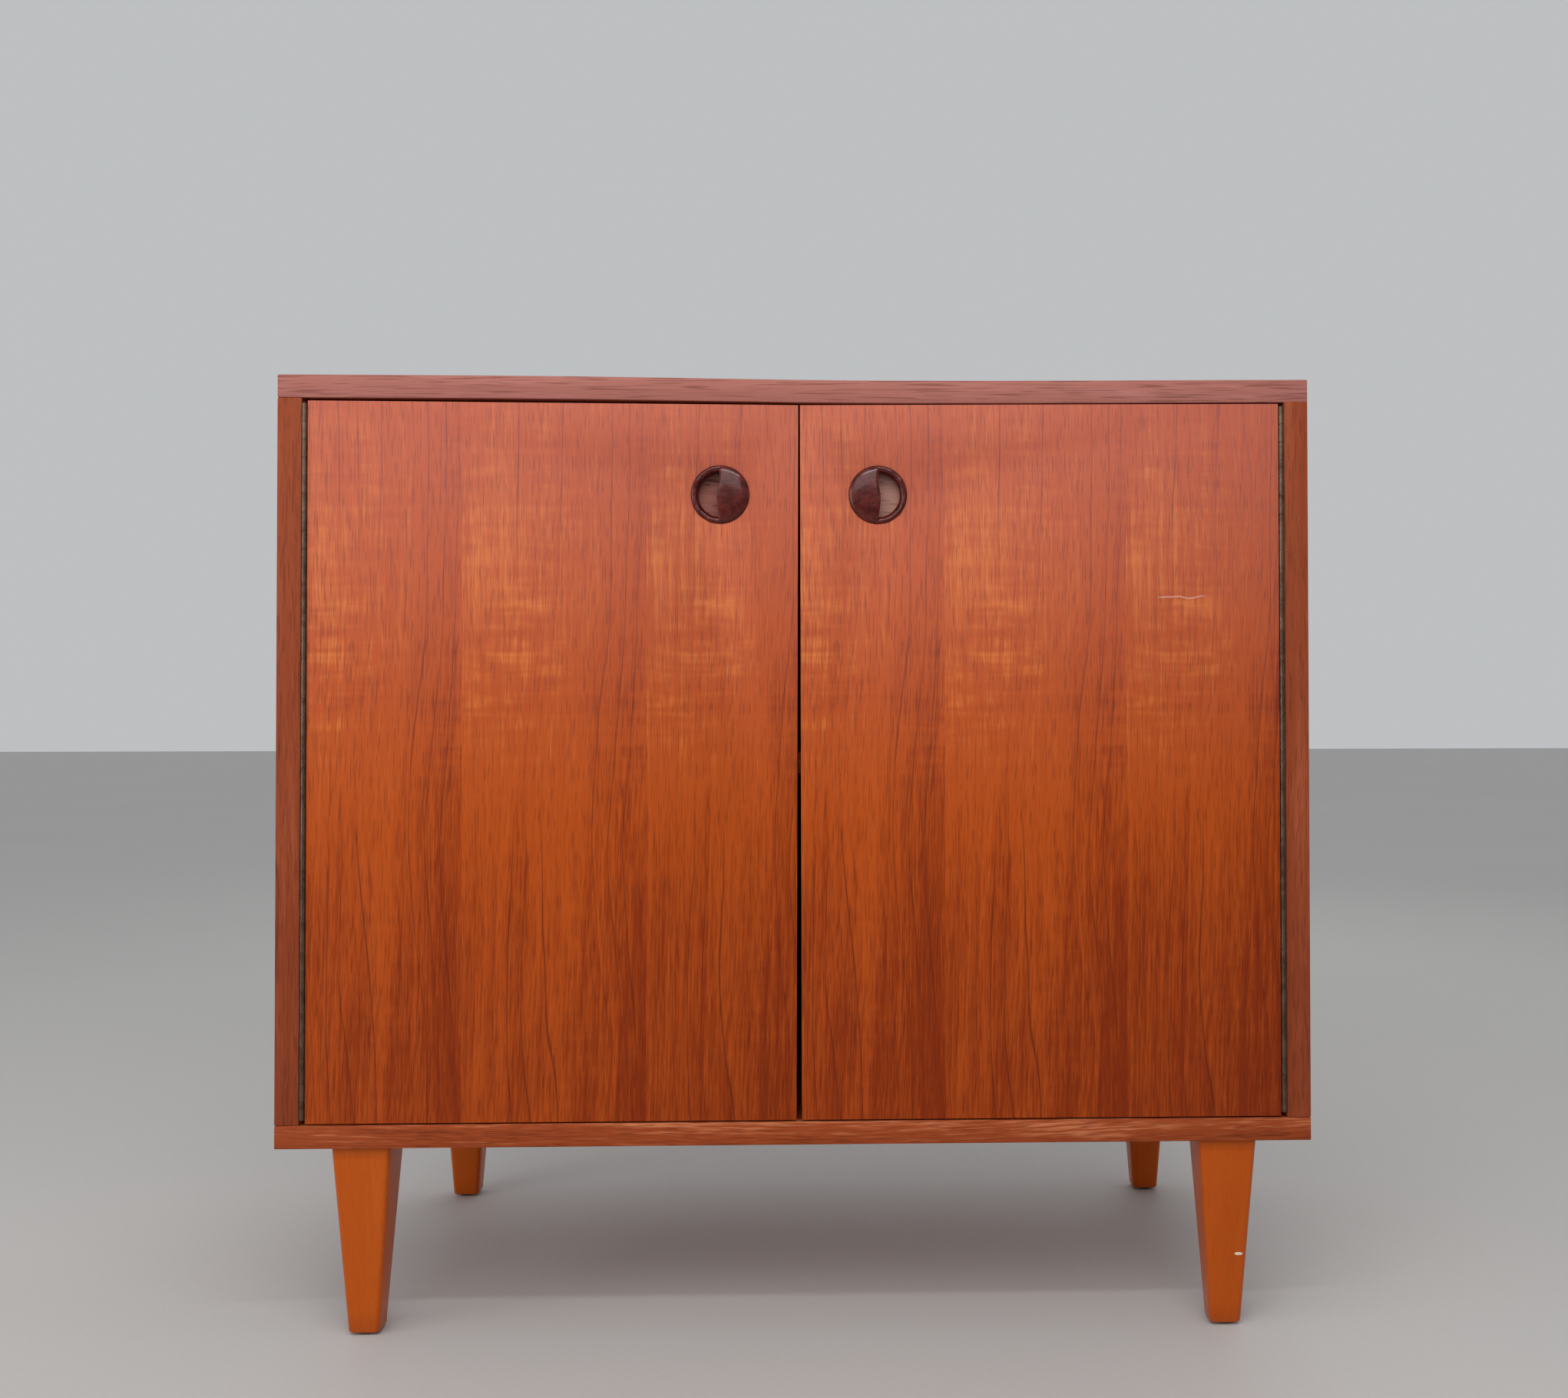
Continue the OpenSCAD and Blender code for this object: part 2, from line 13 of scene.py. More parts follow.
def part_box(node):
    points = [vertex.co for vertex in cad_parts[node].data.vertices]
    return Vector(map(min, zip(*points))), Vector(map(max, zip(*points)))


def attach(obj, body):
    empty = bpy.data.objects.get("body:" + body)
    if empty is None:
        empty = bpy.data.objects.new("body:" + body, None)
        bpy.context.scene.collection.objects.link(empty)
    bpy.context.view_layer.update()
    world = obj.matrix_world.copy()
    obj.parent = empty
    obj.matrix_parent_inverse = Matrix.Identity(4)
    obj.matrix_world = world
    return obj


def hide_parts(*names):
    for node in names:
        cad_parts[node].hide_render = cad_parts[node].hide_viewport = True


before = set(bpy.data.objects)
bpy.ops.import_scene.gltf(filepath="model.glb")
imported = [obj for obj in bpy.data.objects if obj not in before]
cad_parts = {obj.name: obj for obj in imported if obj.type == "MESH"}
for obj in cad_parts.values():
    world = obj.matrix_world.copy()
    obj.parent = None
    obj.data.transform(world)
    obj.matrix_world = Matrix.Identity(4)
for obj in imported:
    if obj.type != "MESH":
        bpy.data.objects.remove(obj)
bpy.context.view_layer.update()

log = logging.getLogger("sewing_table")

Colour = tuple[float, float, float]
Socket = bpy.types.NodeSocket
Shaper = Callable[[bmesh.types.BMesh], None]

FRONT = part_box("top_lipping")[0].y          # plane of the cabinet's front edges
HALF_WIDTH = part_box("top_lipping")[1].x     # half the width of the table top
SAG = 0.0031                                # deepest drop of the top's front edge
SAG_PLACE = 0.070                           # where it is deepest
SAG_REACH = (0.200, 0.330)                  # how far it spreads to the left and right
SAG_DEPTH = 0.085                           # how far back it goes
CATCH_DEPTH = 0.035                         # how far behind the front the catches hang
EASE = 0.0007                               # rounding of a planed edge
TIGHT_EASE = 0.0003                         # rounding of thin sheet
BASE = "cabinet"                            # the CAD body that stands still
FULL_TURN = 2 * math.pi

# Turned profiles as (radius, height), for a fastener of radius 1 and length 1 under its head.
SCREW_PROFILE = ((0.0, -1.0), (0.30, -0.93), (0.55, -0.86), (0.56, -0.12), (0.60, -0.075),
                 (0.97, -0.012), (1.0, -0.006), (0.985, 0.0), (0.55, 0.0), (0.0, 0.0))
GLIDE_PROFILE = ((0.0, -1.0), (0.10, -0.95), (0.155, -0.85), (0.155, -0.13), (1.0, -0.125),
                 (1.0, -0.04), (0.93, 0.0), (0.0, 0.0))
PEG_PROFILE = ((0.0, -1.0), (1.0, -1.0), (1.0, -0.10), (0.93, -0.04), (0.72, -0.012),
               (0.4, -0.002), (0.0, 0.0))


class Grain(Enum):
    """Direction that the wood's fibres run in."""

    UP = "up"
    ACROSS = "across"


class Hand(StrEnum):
    """The side of the table that a door is hung on."""

    LEFT = "left"
    RIGHT = "right"


# ---------------------------------------------------------------- node trees


class NodeTree:
    """A node tree that is built by calls which take and return sockets."""

    def __init__(self, tree: bpy.types.NodeTree) -> None:
        """Holds the tree that the nodes go into."""
        self.tree = tree

    def node(self, kind: str, inputs: dict | None = None, **settings: object) -> bpy.types.Node:
        """Adds a node.

        Args:
            kind: the node's type name.
            inputs: socket values or links, by name or index.
            settings: the node's own properties.

        Returns:
            The node.
        """
        made = self.tree.nodes.new(kind)
        for key, value in settings.items():
            setattr(made, key, value)
        for key, value in (inputs or {}).items():
            self.put(made.inputs[key], value)
        return made

    def put(self, socket: Socket, value: object) -> None:
        """Links a socket to another one, or sets its value.

        Args:
            socket: the input socket.
            value: an output socket, or a plain value.
        """
        if isinstance(value, bpy.types.NodeSocket):
            self.tree.links.new(value, socket)
        else:
            socket.default_value = value


class Graph(NodeTree):
    """A material's node tree, written as short calls that pass sockets on."""

    def __init__(self, name: str) -> None:
        """Starts a material.

        Args:
            name: the material's name.
        """
        self.material = bpy.data.materials.new(name)
        self.material.use_nodes = True
        super().__init__(self.material.node_tree)
        self.shader = self.tree.nodes["Principled BSDF"]

    def math(self, operation: str, a: object, b: object = 0.0, c: object = 0.0) -> Socket:
        """Adds a Math node and returns its result."""
        return self.node("ShaderNodeMath", {0: a, 1: b, 2: c}, operation=operation).outputs[0]

    def around(self, value: Socket, size: float, onto: object = 0.0) -> Socket:
        """Returns onto + (value - 0.5) * size, for a value that is 0.5 on average."""
        return self.math("MULTIPLY_ADD", self.math("SUBTRACT", value, 0.5), size, onto)

    def times(self, *values: object) -> Socket:
        """Multiplies two or more values.

        Args:
            values: numbers and sockets.

        Returns:
            Their product.
        """
        product, *others = values
        for other in others:
            product = self.math("MULTIPLY", product, other)
        return product

    def apart(self, value: object, centre: object) -> Socket:
        """Returns the distance of a value from a centre."""
        return self.math("ABSOLUTE", self.math("SUBTRACT", value, centre))

    def step(self, value: Socket, low: float, high: float,
             out: Sequence[float] = (0, 1)) -> Socket:
        """Maps a value smoothly from low..high to the out range.

        Args:
            value: the value to map.
            low: input that gives out[0].
            high: input that gives out[1].
            out: the range of the result.

        Returns:
            The mapped value.
        """
        inputs = {"Value": value, 1: low, 2: high, 3: out[0], 4: out[1]}
        return self.node("ShaderNodeMapRange", inputs,
                         interpolation_type="SMOOTHSTEP").outputs[0]

    def noise(self, vector: Socket, scale: float = 1.0, detail: float = 2.0,
              roughness: float = 0.5, distortion: float = 0.0) -> Socket:
        """Adds a noise texture.

        Args:
            vector: the place that it is read at.
            scale: its scale, per metre.
            detail: number of finer layers.
            roughness: weight of the finer layers.
            distortion: how much it is twisted.

        Returns:
            Its value, about 0.5 on average.
        """
        inputs = {"Vector": vector, "Scale": scale, "Detail": detail,
                  "Roughness": roughness, "Distortion": distortion}
        return self.node("ShaderNodeTexNoise", inputs).outputs[0]

    def scaled(self, vector: Socket, scale: Sequence[float],
               shift: Sequence[float] = (0, 0, 0)) -> Socket:
        """Returns vector * scale + shift."""
        return self.node("ShaderNodeVectorMath", {0: vector, 1: tuple(scale), 2: tuple(shift)},
                         operation="MULTIPLY_ADD").outputs[0]

    def split(self, vector: Socket) -> tuple[Socket, Socket, Socket]:
        """Returns a vector's three parts."""
        outputs = self.node("ShaderNodeSeparateXYZ", {0: vector}).outputs
        return outputs[0], outputs[1], outputs[2]

    def join(self, x: object, y: object, z: object) -> Socket:
        """Returns a vector made of three parts."""
        return self.node("ShaderNodeCombineXYZ", {0: x, 1: y, 2: z}).outputs[0]

    def place(self) -> Socket:
        """Returns the Object coordinates, in metres."""
        return self.node("ShaderNodeTexCoord").outputs["Object"]

    def mix(self, share: object, a: object, b: object) -> Socket:
        """Mixes two colours, with share of b, 0 to 1."""
        inputs = {"Factor": share, 6: rgba(a), 7: rgba(b)}
        return self.node("ShaderNodeMix", inputs, data_type="RGBA").outputs[2]

    def ramp(self, value: Socket, stops: Sequence[tuple[float, Colour]]) -> Socket:
        """Maps a value to colours.

        Args:
            value: the value.
            stops: the places on the ramp and their colours.

        Returns:
            The colour.
        """
        made = self.node("ShaderNodeValToRGB", {0: value})
        ramp = made.color_ramp
        ramp.interpolation = "EASE"
        while len(ramp.elements) < len(stops):
            ramp.elements.new(1.0)
        for element, (at, colour) in zip(ramp.elements, stops):
            element.position = at
            element.color = rgba(colour)
        return made.outputs[0]

    def bump(self, height: Socket, distance: float, strength: float = 1.0) -> None:
        """Feeds a height to the shader's normal.

        Args:
            height: the height, about 0 to 1.
            distance: how high 1 is, in metres.
            strength: share of the bump that shows.
        """
        made = self.node("ShaderNodeBump", {"Height": height, "Distance": distance,
                                            "Strength": strength})
        self.put(self.shader.inputs["Normal"], made.outputs[0])

    def set(self, **values: object) -> bpy.types.Material:
        """Sets the shader's sockets.

        Args:
            values: values or sockets by name, with underscores for spaces.

        Returns:
            The material.
        """
        for key, value in values.items():
            self.put(self.shader.inputs[key.replace("_", " ")], value)
        return self.material


def rgba(value: object) -> object:
    """Gives a plain colour its alpha.

    Args:
        value: a colour of three or four parts, or a socket.

    Returns:
        The colour with its alpha, or the socket as it is.
    """
    if isinstance(value, (tuple, list)) and len(value) == 3:
        return (*value, 1.0)
    return value


# ------------------------------------------------------------------ finishes


# Scales of the wood's noises, per metre across, into and along the grain.
BEND_SCALE = (5.0, 5.0, 1.3)            # the slow lean of the fibres
TONE_SCALE = (19.0, 19.0, 1.2)          # long bands of tone
CLOUD_SCALE = (8.0, 8.0, 5.0)           # soft patches
STREAK_SCALE = (370.0, 370.0, 10.0)
BAND_SCALE = (90.0, 90.0, 3.0)
FIBRE_SCALE = (800.0, 800.0, 45.0)
WAVE_SCALE = (9.0, 9.0, 5.0)            # unevenness of the planed face
RING_SCALE = (7.0, 7.0, 1.6)            # spacing of the growth rings
RING_EDGE_SCALE = (30.0, 30.0, 4.5)     # wobble of a ring
RING_FADE_SCALE = (18.0, 18.0, 4.0)     # where a growth line shows
RIPPLE_SCALE = (21.0, 21.0, 115.0)      # cross bands of the figure
RIPPLE_BROAD_SCALE = (14.0, 14.0, 26.0)
RIPPLE_PATCH_SCALE = (11.0, 11.0, 6.0)

# Weights of the parts that add up to the wood's tone, and the tone without them.
MEAN_TONE = 0.52
TONE_WEIGHT = 0.75
CLOUD_WEIGHT = 0.5
STREAK_WEIGHT = 1.15
BAND_WEIGHT = 0.5
FIBRE_WEIGHT = 1.05
LATE_WEIGHT = -0.09
RIPPLE_WEIGHT = 0.95
RIPPLE_BROAD_WEIGHT = 0.45
TONE_STOPS = (0.22, 0.5, 0.82)          # values that give the deep, mid and light tone

# Spans that a smooth step goes over; those along the grain are heights in metres.
PAINTED_SHADE_SPAN = (0.68, 0.16)                # heights over which painted shade grows towards an upright face's foot
PAINTED_VEIL_SPAN = (0.40, 0.85)                # heights over which the painted reflection veil grows
PORE_SPAN = (0.60, 0.74)
LATE_RISE = (0.3, 0.9)                  # part of a ring where it darkens
LATE_FALL = (0.97, 0.9)                 # and where the next ring begins
LINE_HALF = (0.045, 0.012)              # half width of a growth line, as part of a ring
LINE_CHANCE = (0.25, 0.95)
LINE_SHOWS = (0.38, 0.60)
RIPPLE_ZONE = (0.23, 0.03)              # distance from its middle height
RIPPLE_PATCH = (0.34, 0.66)
RIPPLE_REST = 0.16                      # share of ripple that is left outside the zone

LINE_PLACE = 0.9                        # where the line is, as part of a ring
RING_SLANT = 0.6                        # how much the rings shift with depth
RING_SWEEP = 7.0                        # how many rings the broad noise moves them by
RING_WOBBLE = 1.5

# Heights of the parts in the bump, and what fibres and pores add to the roughness.
PORE_HEIGHT = -0.8
STREAK_HEIGHT = 0.5
LINE_HEIGHT = -0.3
WAVE_HEIGHT = 0.8
FIBRE_ROUGHNESS = 0.14
PORE_ROUGHNESS = 0.12

PAINTED_VEIL_TINT = (0.50, 0.26, 0.30)               # tint of the painted reflection veil on an upper face
CHIP_TINT = (0.72, 0.62, 0.50)
SCRATCH_TINT = (0.62, 0.36, 0.28)


@dataclass(frozen=True)
class Leaves:
    """How a face is laid up from consecutive leaves of veneer.

    Start is the first joint, pitch the width of a leaf, and slice how much deeper in the log
    the next leaf is. Each leaf has a deeper right part low down and a glow on its left part
    at mid height. The spans are distances across a leaf or heights, in metres.
    """

    start: float
    pitch: float = 0.1505
    slice: float = 0.004
    variation: float = 0.05
    blur: float = 0.07
    deep_from: float = 0.055
    deep_heights: tuple[float, float] = (0.56, 0.24)
    deep_weight: float = -0.09
    glow_across: tuple[float, float] = (0.10, 0.01)
    glow_height: float = 0.54
    glow_reach: tuple[float, float] = (0.26, 0.05)
    glow_weight: float = 0.085


@dataclass(frozen=True)
class Scratch:
    """A short pale mark on a front face.

    It goes from left to right at a height, swaying a little, and fades out at its ends. Face
    is how far behind the cabinet's front edges the door's front face may be.
    """

    left: float
    right: float
    height: float
    half: float = 0.0004
    sway: float = 0.006
    sway_scale: tuple[float, float, float] = (60.0, 1.0, 1.0)
    fade: float = 0.006
    face: tuple[float, float] = (0.004, 0.002)
    strength: float = 0.7


@dataclass(frozen=True)
class Chip:
    """A small pale chip in a finish: its middle and its half sizes."""

    place: tuple[float, float, float]
    half: tuple[float, float, float] = (0.0042, 0.004, 0.0014)
    ragged_scale: float = 700.0
    ragged: float = 0.9
    rim: tuple[float, float] = (1.0, 0.8)


@dataclass(frozen=True)
class Wood:
    """Oiled wood or veneer with growth lines, fibres, pores and ripple.

    The tones run from deep to light, and the veins are the thin dark growth lines. One amount
    sets a pale painted reflection veil on the upper part, another painted shade on the lower part.
    """

    name: str
    grain: Grain
    tones: tuple[Colour, Colour, Colour]
    vein: Colour = (0.085, 0.012, 0.004)
    veins: float = 0.75
    vein_pitch: float = 0.013
    pores: float = 0.35
    pore_scale: float = 1100.0
    pore_length: float = 55.0
    streaks: float = 0.30
    clouds: float = 1.0
    ripple: float = 0.0
    ripple_at: float = 0.625
    roughness: float = 0.42
    bump: float = 0.00012
    seed: float = 0.0
    leaves: Leaves | None = None
    scratch: Scratch | None = None
    chip: Chip | None = None
    faded: float = 0.0
    drop: float = 0.0
    coat: float = 0.0
    gloss: float = 0.3
    sheen: Colour = (1.0, 0.5, 0.3)
    lean: float = 0.045

    def material(self) -> bpy.types.Material:
        """Builds the finish.

        Returns:
            The material.
        """
        g = Graph(self.name)
        across, depth, along = self._grain_parts(g)
        leaf: object = 0.0
        if self.leaves:
            turns = g.math("DIVIDE", g.math("SUBTRACT", across, self.leaves.start),
                           self.leaves.pitch)
            leaf = g.math("FLOOR", turns)
            across = g.times(g.math("SUBTRACT", turns, leaf), self.leaves.pitch)
            depth = g.math("MULTIPLY_ADD", leaf, self.leaves.slice, depth)
        base = g.join(across, depth, along)
        lean = g.around(self._noise(g, base, BEND_SCALE, 1.0), self.lean)
        swayed = g.join(g.math("ADD", across, lean), depth, along)

        cloud = self._noise(g, swayed, CLOUD_SCALE, 2.0, 0.55)
        streak = self._noise(g, swayed, STREAK_SCALE, 3.0)
        fibre = self._noise(g, swayed, FIBRE_SCALE, 1.0)
        late, line = self._rings(g, swayed)
        value = self._tone(g, swayed, cloud, streak, fibre)
        value = g.math("MULTIPLY_ADD", late, LATE_WEIGHT * self.clouds, value)
        if self.ripple:
            value = g.math("ADD", value, self._ripple(g, swayed, along))
        if self.leaves:
            value = g.math("ADD", value, self._lay_up(g, leaf, across, along, cloud))
        # Painted shade: the lower part is darkened, as under light falling from above.
        if self.drop:
            value = g.math("MULTIPLY_ADD", g.step(along, *PAINTED_SHADE_SPAN), -self.drop, value)
        colour = g.ramp(value, list(zip(TONE_STOPS, self.tones)))
        colour = g.mix(g.times(line, self.veins), colour, self.vein)
        pore_scale = (self.pore_scale, self.pore_scale, self.pore_length)
        dash = g.step(self._noise(g, swayed, pore_scale, 0.0), *PORE_SPAN)
        colour = g.mix(g.times(dash, self.pores), colour, self.vein)
        # Painted reflection: a pale pinkish veil laid over the upper part of the face.
        if self.faded:
            colour = g.mix(g.step(along, *PAINTED_VEIL_SPAN, (0.0, self.faded)), colour, PAINTED_VEIL_TINT)
        if self.chip:
            colour = g.mix(self._fleck(g), colour, CHIP_TINT)
        if self.scratch:
            colour = g.mix(self._mark(g, base), colour, SCRATCH_TINT)

        height = g.math("MULTIPLY_ADD", dash, PORE_HEIGHT, g.times(streak, STREAK_HEIGHT))
        height = g.math("MULTIPLY_ADD", line, LINE_HEIGHT, height)
        wave = self._noise(g, base, WAVE_SCALE, 1.0)
        g.bump(g.math("MULTIPLY_ADD", wave, WAVE_HEIGHT, height), self.bump)
        rough = g.around(fibre, FIBRE_ROUGHNESS, self.roughness)
        rough = g.math("MULTIPLY_ADD", dash, PORE_ROUGHNESS, rough)
        return g.set(Base_Color=colour, Roughness=rough, Coat_Weight=self.coat,
                     Coat_Roughness=0.3, Specular_IOR_Level=self.gloss,
                     Specular_Tint=rgba(self.sheen))

    def _noise(self, g: Graph, place: Socket, scale: Sequence[float], detail: float,
               roughness: float = 0.5, distortion: float = 0.0) -> Socket:
        """Adds a noise stretched along the grain and moved by the seed.

        Args:
            g: the node tree.
            place: the place across, into and along the grain.
            scale: its scale in those directions, per metre.
            detail: number of finer layers.
            roughness: weight of the finer layers.
            distortion: how much it is twisted.

        Returns:
            Its value, about 0.5 on average.
        """
        here = (self.seed, self.seed * 0.7, self.seed * 1.3)
        return g.noise(g.scaled(place, scale, here), detail=detail, roughness=roughness,
                       distortion=distortion)

    def _tone(self, g: Graph, swayed: Socket, cloud: Socket, streak: Socket,
              fibre: Socket) -> Socket:
        """Adds up the wood's tone from its broad and its fine parts.

        Args:
            g: the node tree.
            swayed: the place across, into and along the leaning grain.
            cloud: the soft patches.
            streak: the streaks.
            fibre: the fibres.

        Returns:
            The tone, about 0.5 on average.
        """
        tone = self._noise(g, swayed, TONE_SCALE, 2.0, 0.6)
        band = self._noise(g, swayed, BAND_SCALE, 1.0)
        value = g.around(tone, TONE_WEIGHT * self.clouds, MEAN_TONE)
        value = g.around(cloud, CLOUD_WEIGHT * self.clouds, value)
        value = g.around(streak, STREAK_WEIGHT * self.streaks, value)
        value = g.around(band, BAND_WEIGHT * self.streaks, value)
        return g.around(fibre, FIBRE_WEIGHT * self.streaks, value)

    def _lay_up(self, g: Graph, leaf: Socket, across: Socket, along: Socket,
                cloud: Socket) -> Socket:
        """Makes each leaf lighter on its left at mid height and deeper on its right below.

        Args:
            g: the node tree.
            leaf: the leaf's number.
            across: the place across the leaf.
            along: the place along the grain.
            cloud: the soft patches, which blur the leaf's parts.

        Returns:
            What is added to the tone.
        """
        lay = self.leaves
        soft = g.around(cloud, lay.blur, across)
        deep = g.times(g.step(soft, lay.deep_from, lay.pitch), g.step(along, *lay.deep_heights))
        near = g.step(g.apart(along, lay.glow_height), *lay.glow_reach)
        glow = g.times(g.step(soft, *lay.glow_across), near)
        value = g.around(self._draw(g, leaf), lay.variation)
        value = g.math("MULTIPLY_ADD", deep, lay.deep_weight, value)
        return g.math("MULTIPLY_ADD", glow, lay.glow_weight, value)

    def _draw(self, g: Graph, number: Socket) -> Socket:
        """Draws a random value, 0 to 1, for a whole number."""
        return g.node("ShaderNodeTexWhiteNoise", {"W": g.math("ADD", number, self.seed)},
                      noise_dimensions="1D").outputs[0]

    def _rings(self, g: Graph, swayed: Socket) -> tuple[Socket, Socket]:
        """Draws the growth rings: wood that darkens slowly up to a thin line.

        Args:
            g: the node tree.
            swayed: the place across, into and along the leaning grain.

        Returns:
            The slow darkening and the line.
        """
        across, depth, _ = g.split(swayed)
        phase = g.times(g.math("MULTIPLY_ADD", depth, RING_SLANT, across), 1.0 / self.vein_pitch)
        phase = g.around(self._noise(g, swayed, RING_SCALE, 1.0), RING_SWEEP, phase)
        phase = g.around(self._noise(g, swayed, RING_EDGE_SCALE, 1.0), RING_WOBBLE, phase)
        ring = g.math("FLOOR", phase)
        part = g.math("SUBTRACT", phase, ring)
        own = self._draw(g, ring)
        line = g.step(g.apart(part, LINE_PLACE), *LINE_HALF)
        fade = self._noise(g, swayed, RING_FADE_SCALE, 2.0)
        late = g.times(g.step(part, *LATE_RISE), g.step(part, *LATE_FALL))
        return (g.times(late, own),
                g.times(line, g.step(own, *LINE_CHANCE), g.step(fade, *LINE_SHOWS)))

    def _grain_parts(self, g: Graph) -> tuple[Socket, Socket, Socket]:
        """Returns the place across, into and along the grain."""
        x, y, z = g.split(g.place())
        return (x, y, z) if self.grain is Grain.UP else (z, y, x)

    def _ripple(self, g: Graph, swayed: Socket, along: Socket) -> Socket:
        """Draws the short cross bands of rippled figure, strongest at ripple_at.

        Args:
            g: the node tree.
            swayed: the place across, into and along the leaning grain.
            along: the place along the grain.

        Returns:
            What is added to the tone.
        """
        bands = self._noise(g, swayed, RIPPLE_SCALE, 1.0, distortion=0.3)
        broad = self._noise(g, swayed, RIPPLE_BROAD_SCALE, 1.0)
        patch = self._noise(g, swayed, RIPPLE_PATCH_SCALE, 1.0)
        away = g.apart(along, self.ripple_at)
        zone = g.times(g.step(away, *RIPPLE_ZONE, (RIPPLE_REST, 1.0)),
                       g.step(patch, *RIPPLE_PATCH))
        both = g.around(bands, RIPPLE_WEIGHT, g.around(broad, RIPPLE_BROAD_WEIGHT))
        return g.times(both, zone, self.ripple)

    def _fleck(self, g: Graph) -> Socket:
        """Draws the chip, whose outline is ragged.

        Args:
            g: the node tree.

        Returns:
            1 inside the chip and 0 outside.
        """
        place = g.place()
        size = [1.0 / half for half in self.chip.half]
        shift = [-at * scale for at, scale in zip(self.chip.place, size)]
        away = g.node("ShaderNodeVectorMath", {0: g.scaled(place, size, shift)},
                      operation="LENGTH").outputs["Value"]
        ragged = g.around(g.noise(place, self.chip.ragged_scale), self.chip.ragged, away)
        return g.step(ragged, *self.chip.rim)

    def _mark(self, g: Graph, base: Socket) -> Socket:
        """Draws the scratch, which is on the front face only.

        Args:
            g: the node tree.
            base: the place that its sway is read at.

        Returns:
            The scratch's strength on it and 0 outside.
        """
        mark = self.scratch
        x, y, z = g.split(g.place())
        sway = g.noise(g.scaled(base, mark.sway_scale), detail=1.0)
        level = g.around(sway, mark.sway, z)
        near = g.step(g.apart(level, mark.height), mark.half * 2, mark.half * 0.5)
        front = g.step(y, *(FRONT + depth for depth in mark.face))
        ends = g.times(g.step(x, mark.left, mark.left + mark.fade),
                       g.step(x, mark.right, mark.right - mark.fade))
        return g.times(near, front, g.times(ends, mark.strength))


@dataclass(frozen=True)
class Resin:
    """Glossy red-brown resin with a slightly uneven skin."""

    name: str
    deep: Colour = (0.044, 0.0022, 0.0013)
    light: Colour = (0.105, 0.010, 0.006)

    def material(self) -> bpy.types.Material:
        """Builds the finish.

        Returns:
            The material.
        """
        g = Graph(self.name)
        place = g.place()
        cloud = g.noise(place, 120.0, 3.0, 0.6)
        hollow = g.noise(place, 240.0, 1.5)
        fine = g.noise(place, 900.0, 1.0)
        colour = g.mix(g.step(cloud, 0.3, 0.75), self.deep, self.light)
        rough = g.step(cloud, 0.3, 0.8, (0.24, 0.34))
        g.bump(g.math("MULTIPLY_ADD", fine, 0.20, hollow), 0.0010, 0.8)
        return g.set(Base_Color=colour, Roughness=rough, Coat_Weight=0.5, Coat_Roughness=0.14,
                     Specular_IOR_Level=0.12, Specular_Tint=rgba((1.0, 0.66, 0.62)))


@dataclass(frozen=True)
class Metal:
    """Bare or plated metal with tarnish and fine drawing lines."""

    name: str
    bright: Colour
    dull: Colour
    roughness: float = 0.35
    lines: tuple[float, float, float] = (700.0, 700.0, 30.0)

    def material(self) -> bpy.types.Material:
        """Builds the finish.

        Returns:
            The material.
        """
        g = Graph(self.name)
        place = g.place()
        tarnish = g.noise(place, 90.0, 4.0, 0.65)
        drawn = g.noise(g.scaled(place, self.lines), detail=2.0)
        colour = g.mix(g.step(tarnish, 0.35, 0.7), self.bright, self.dull)
        rough = g.around(tarnish, 0.2, self.roughness)
        g.bump(drawn, 0.00004, 0.6)
        return g.set(Base_Color=colour, Roughness=rough, Metallic=1.0)


@dataclass(frozen=True)
class Coating:
    """Paint or plastic: a colour with faint mottling, an uneven skin and rubbed spots."""

    name: str
    colour: Colour
    worn: Colour
    roughness: float = 0.45
    grain: float = 900.0

    def material(self) -> bpy.types.Material:
        """Builds the finish.

        Returns:
            The material.
        """
        g = Graph(self.name)
        place = g.place()
        mottle = g.noise(place, 35.0, 4.0, 0.6)
        skin = g.noise(place, self.grain, 2.0)
        colour = g.mix(g.step(mottle, 0.52, 0.85), self.colour, self.worn)
        rough = g.math("MULTIPLY_ADD", mottle, 0.2, self.roughness - 0.1)
        g.bump(skin, 0.00008, 0.5)
        return g.set(Base_Color=colour, Roughness=rough)


@dataclass(frozen=True)
class Fibreboard:
    """Hardboard: matted fibres and darker specks; the mesh print on its back is not drawn."""

    name: str
    colour: Colour = (0.25, 0.125, 0.062)
    dark: Colour = (0.15, 0.072, 0.036)

    def material(self) -> bpy.types.Material:
        """Builds the finish.

        Returns:
            The material.
        """
        g = Graph(self.name)
        place = g.place()
        fibres = g.noise(g.scaled(place, (260.0, 260.0, 60.0)), detail=4.0, roughness=0.7,
                         distortion=1.5)
        cloud = g.noise(place, 6.0, 4.0, 0.6)
        value = g.math("MULTIPLY_ADD", cloud, 0.2, g.math("MULTIPLY", fibres, 0.8))
        colour = g.ramp(value, [(0.35, self.dark), (0.6, self.colour)])
        g.bump(fibres, 0.0002, 0.8)
        return g.set(Base_Color=colour, Roughness=g.step(fibres, 0.3, 0.7, (0.62, 0.85)))


DOOR_TONES = ((0.215, 0.023, 0.0027), (0.415, 0.066, 0.0075), (0.62, 0.160, 0.027))
CASE_TONES = ((0.20, 0.033, 0.009), (0.36, 0.072, 0.020), (0.52, 0.145, 0.045))
EDGE_TONES = ((0.12, 0.020, 0.008), (0.235, 0.044, 0.016), (0.34, 0.08, 0.032))


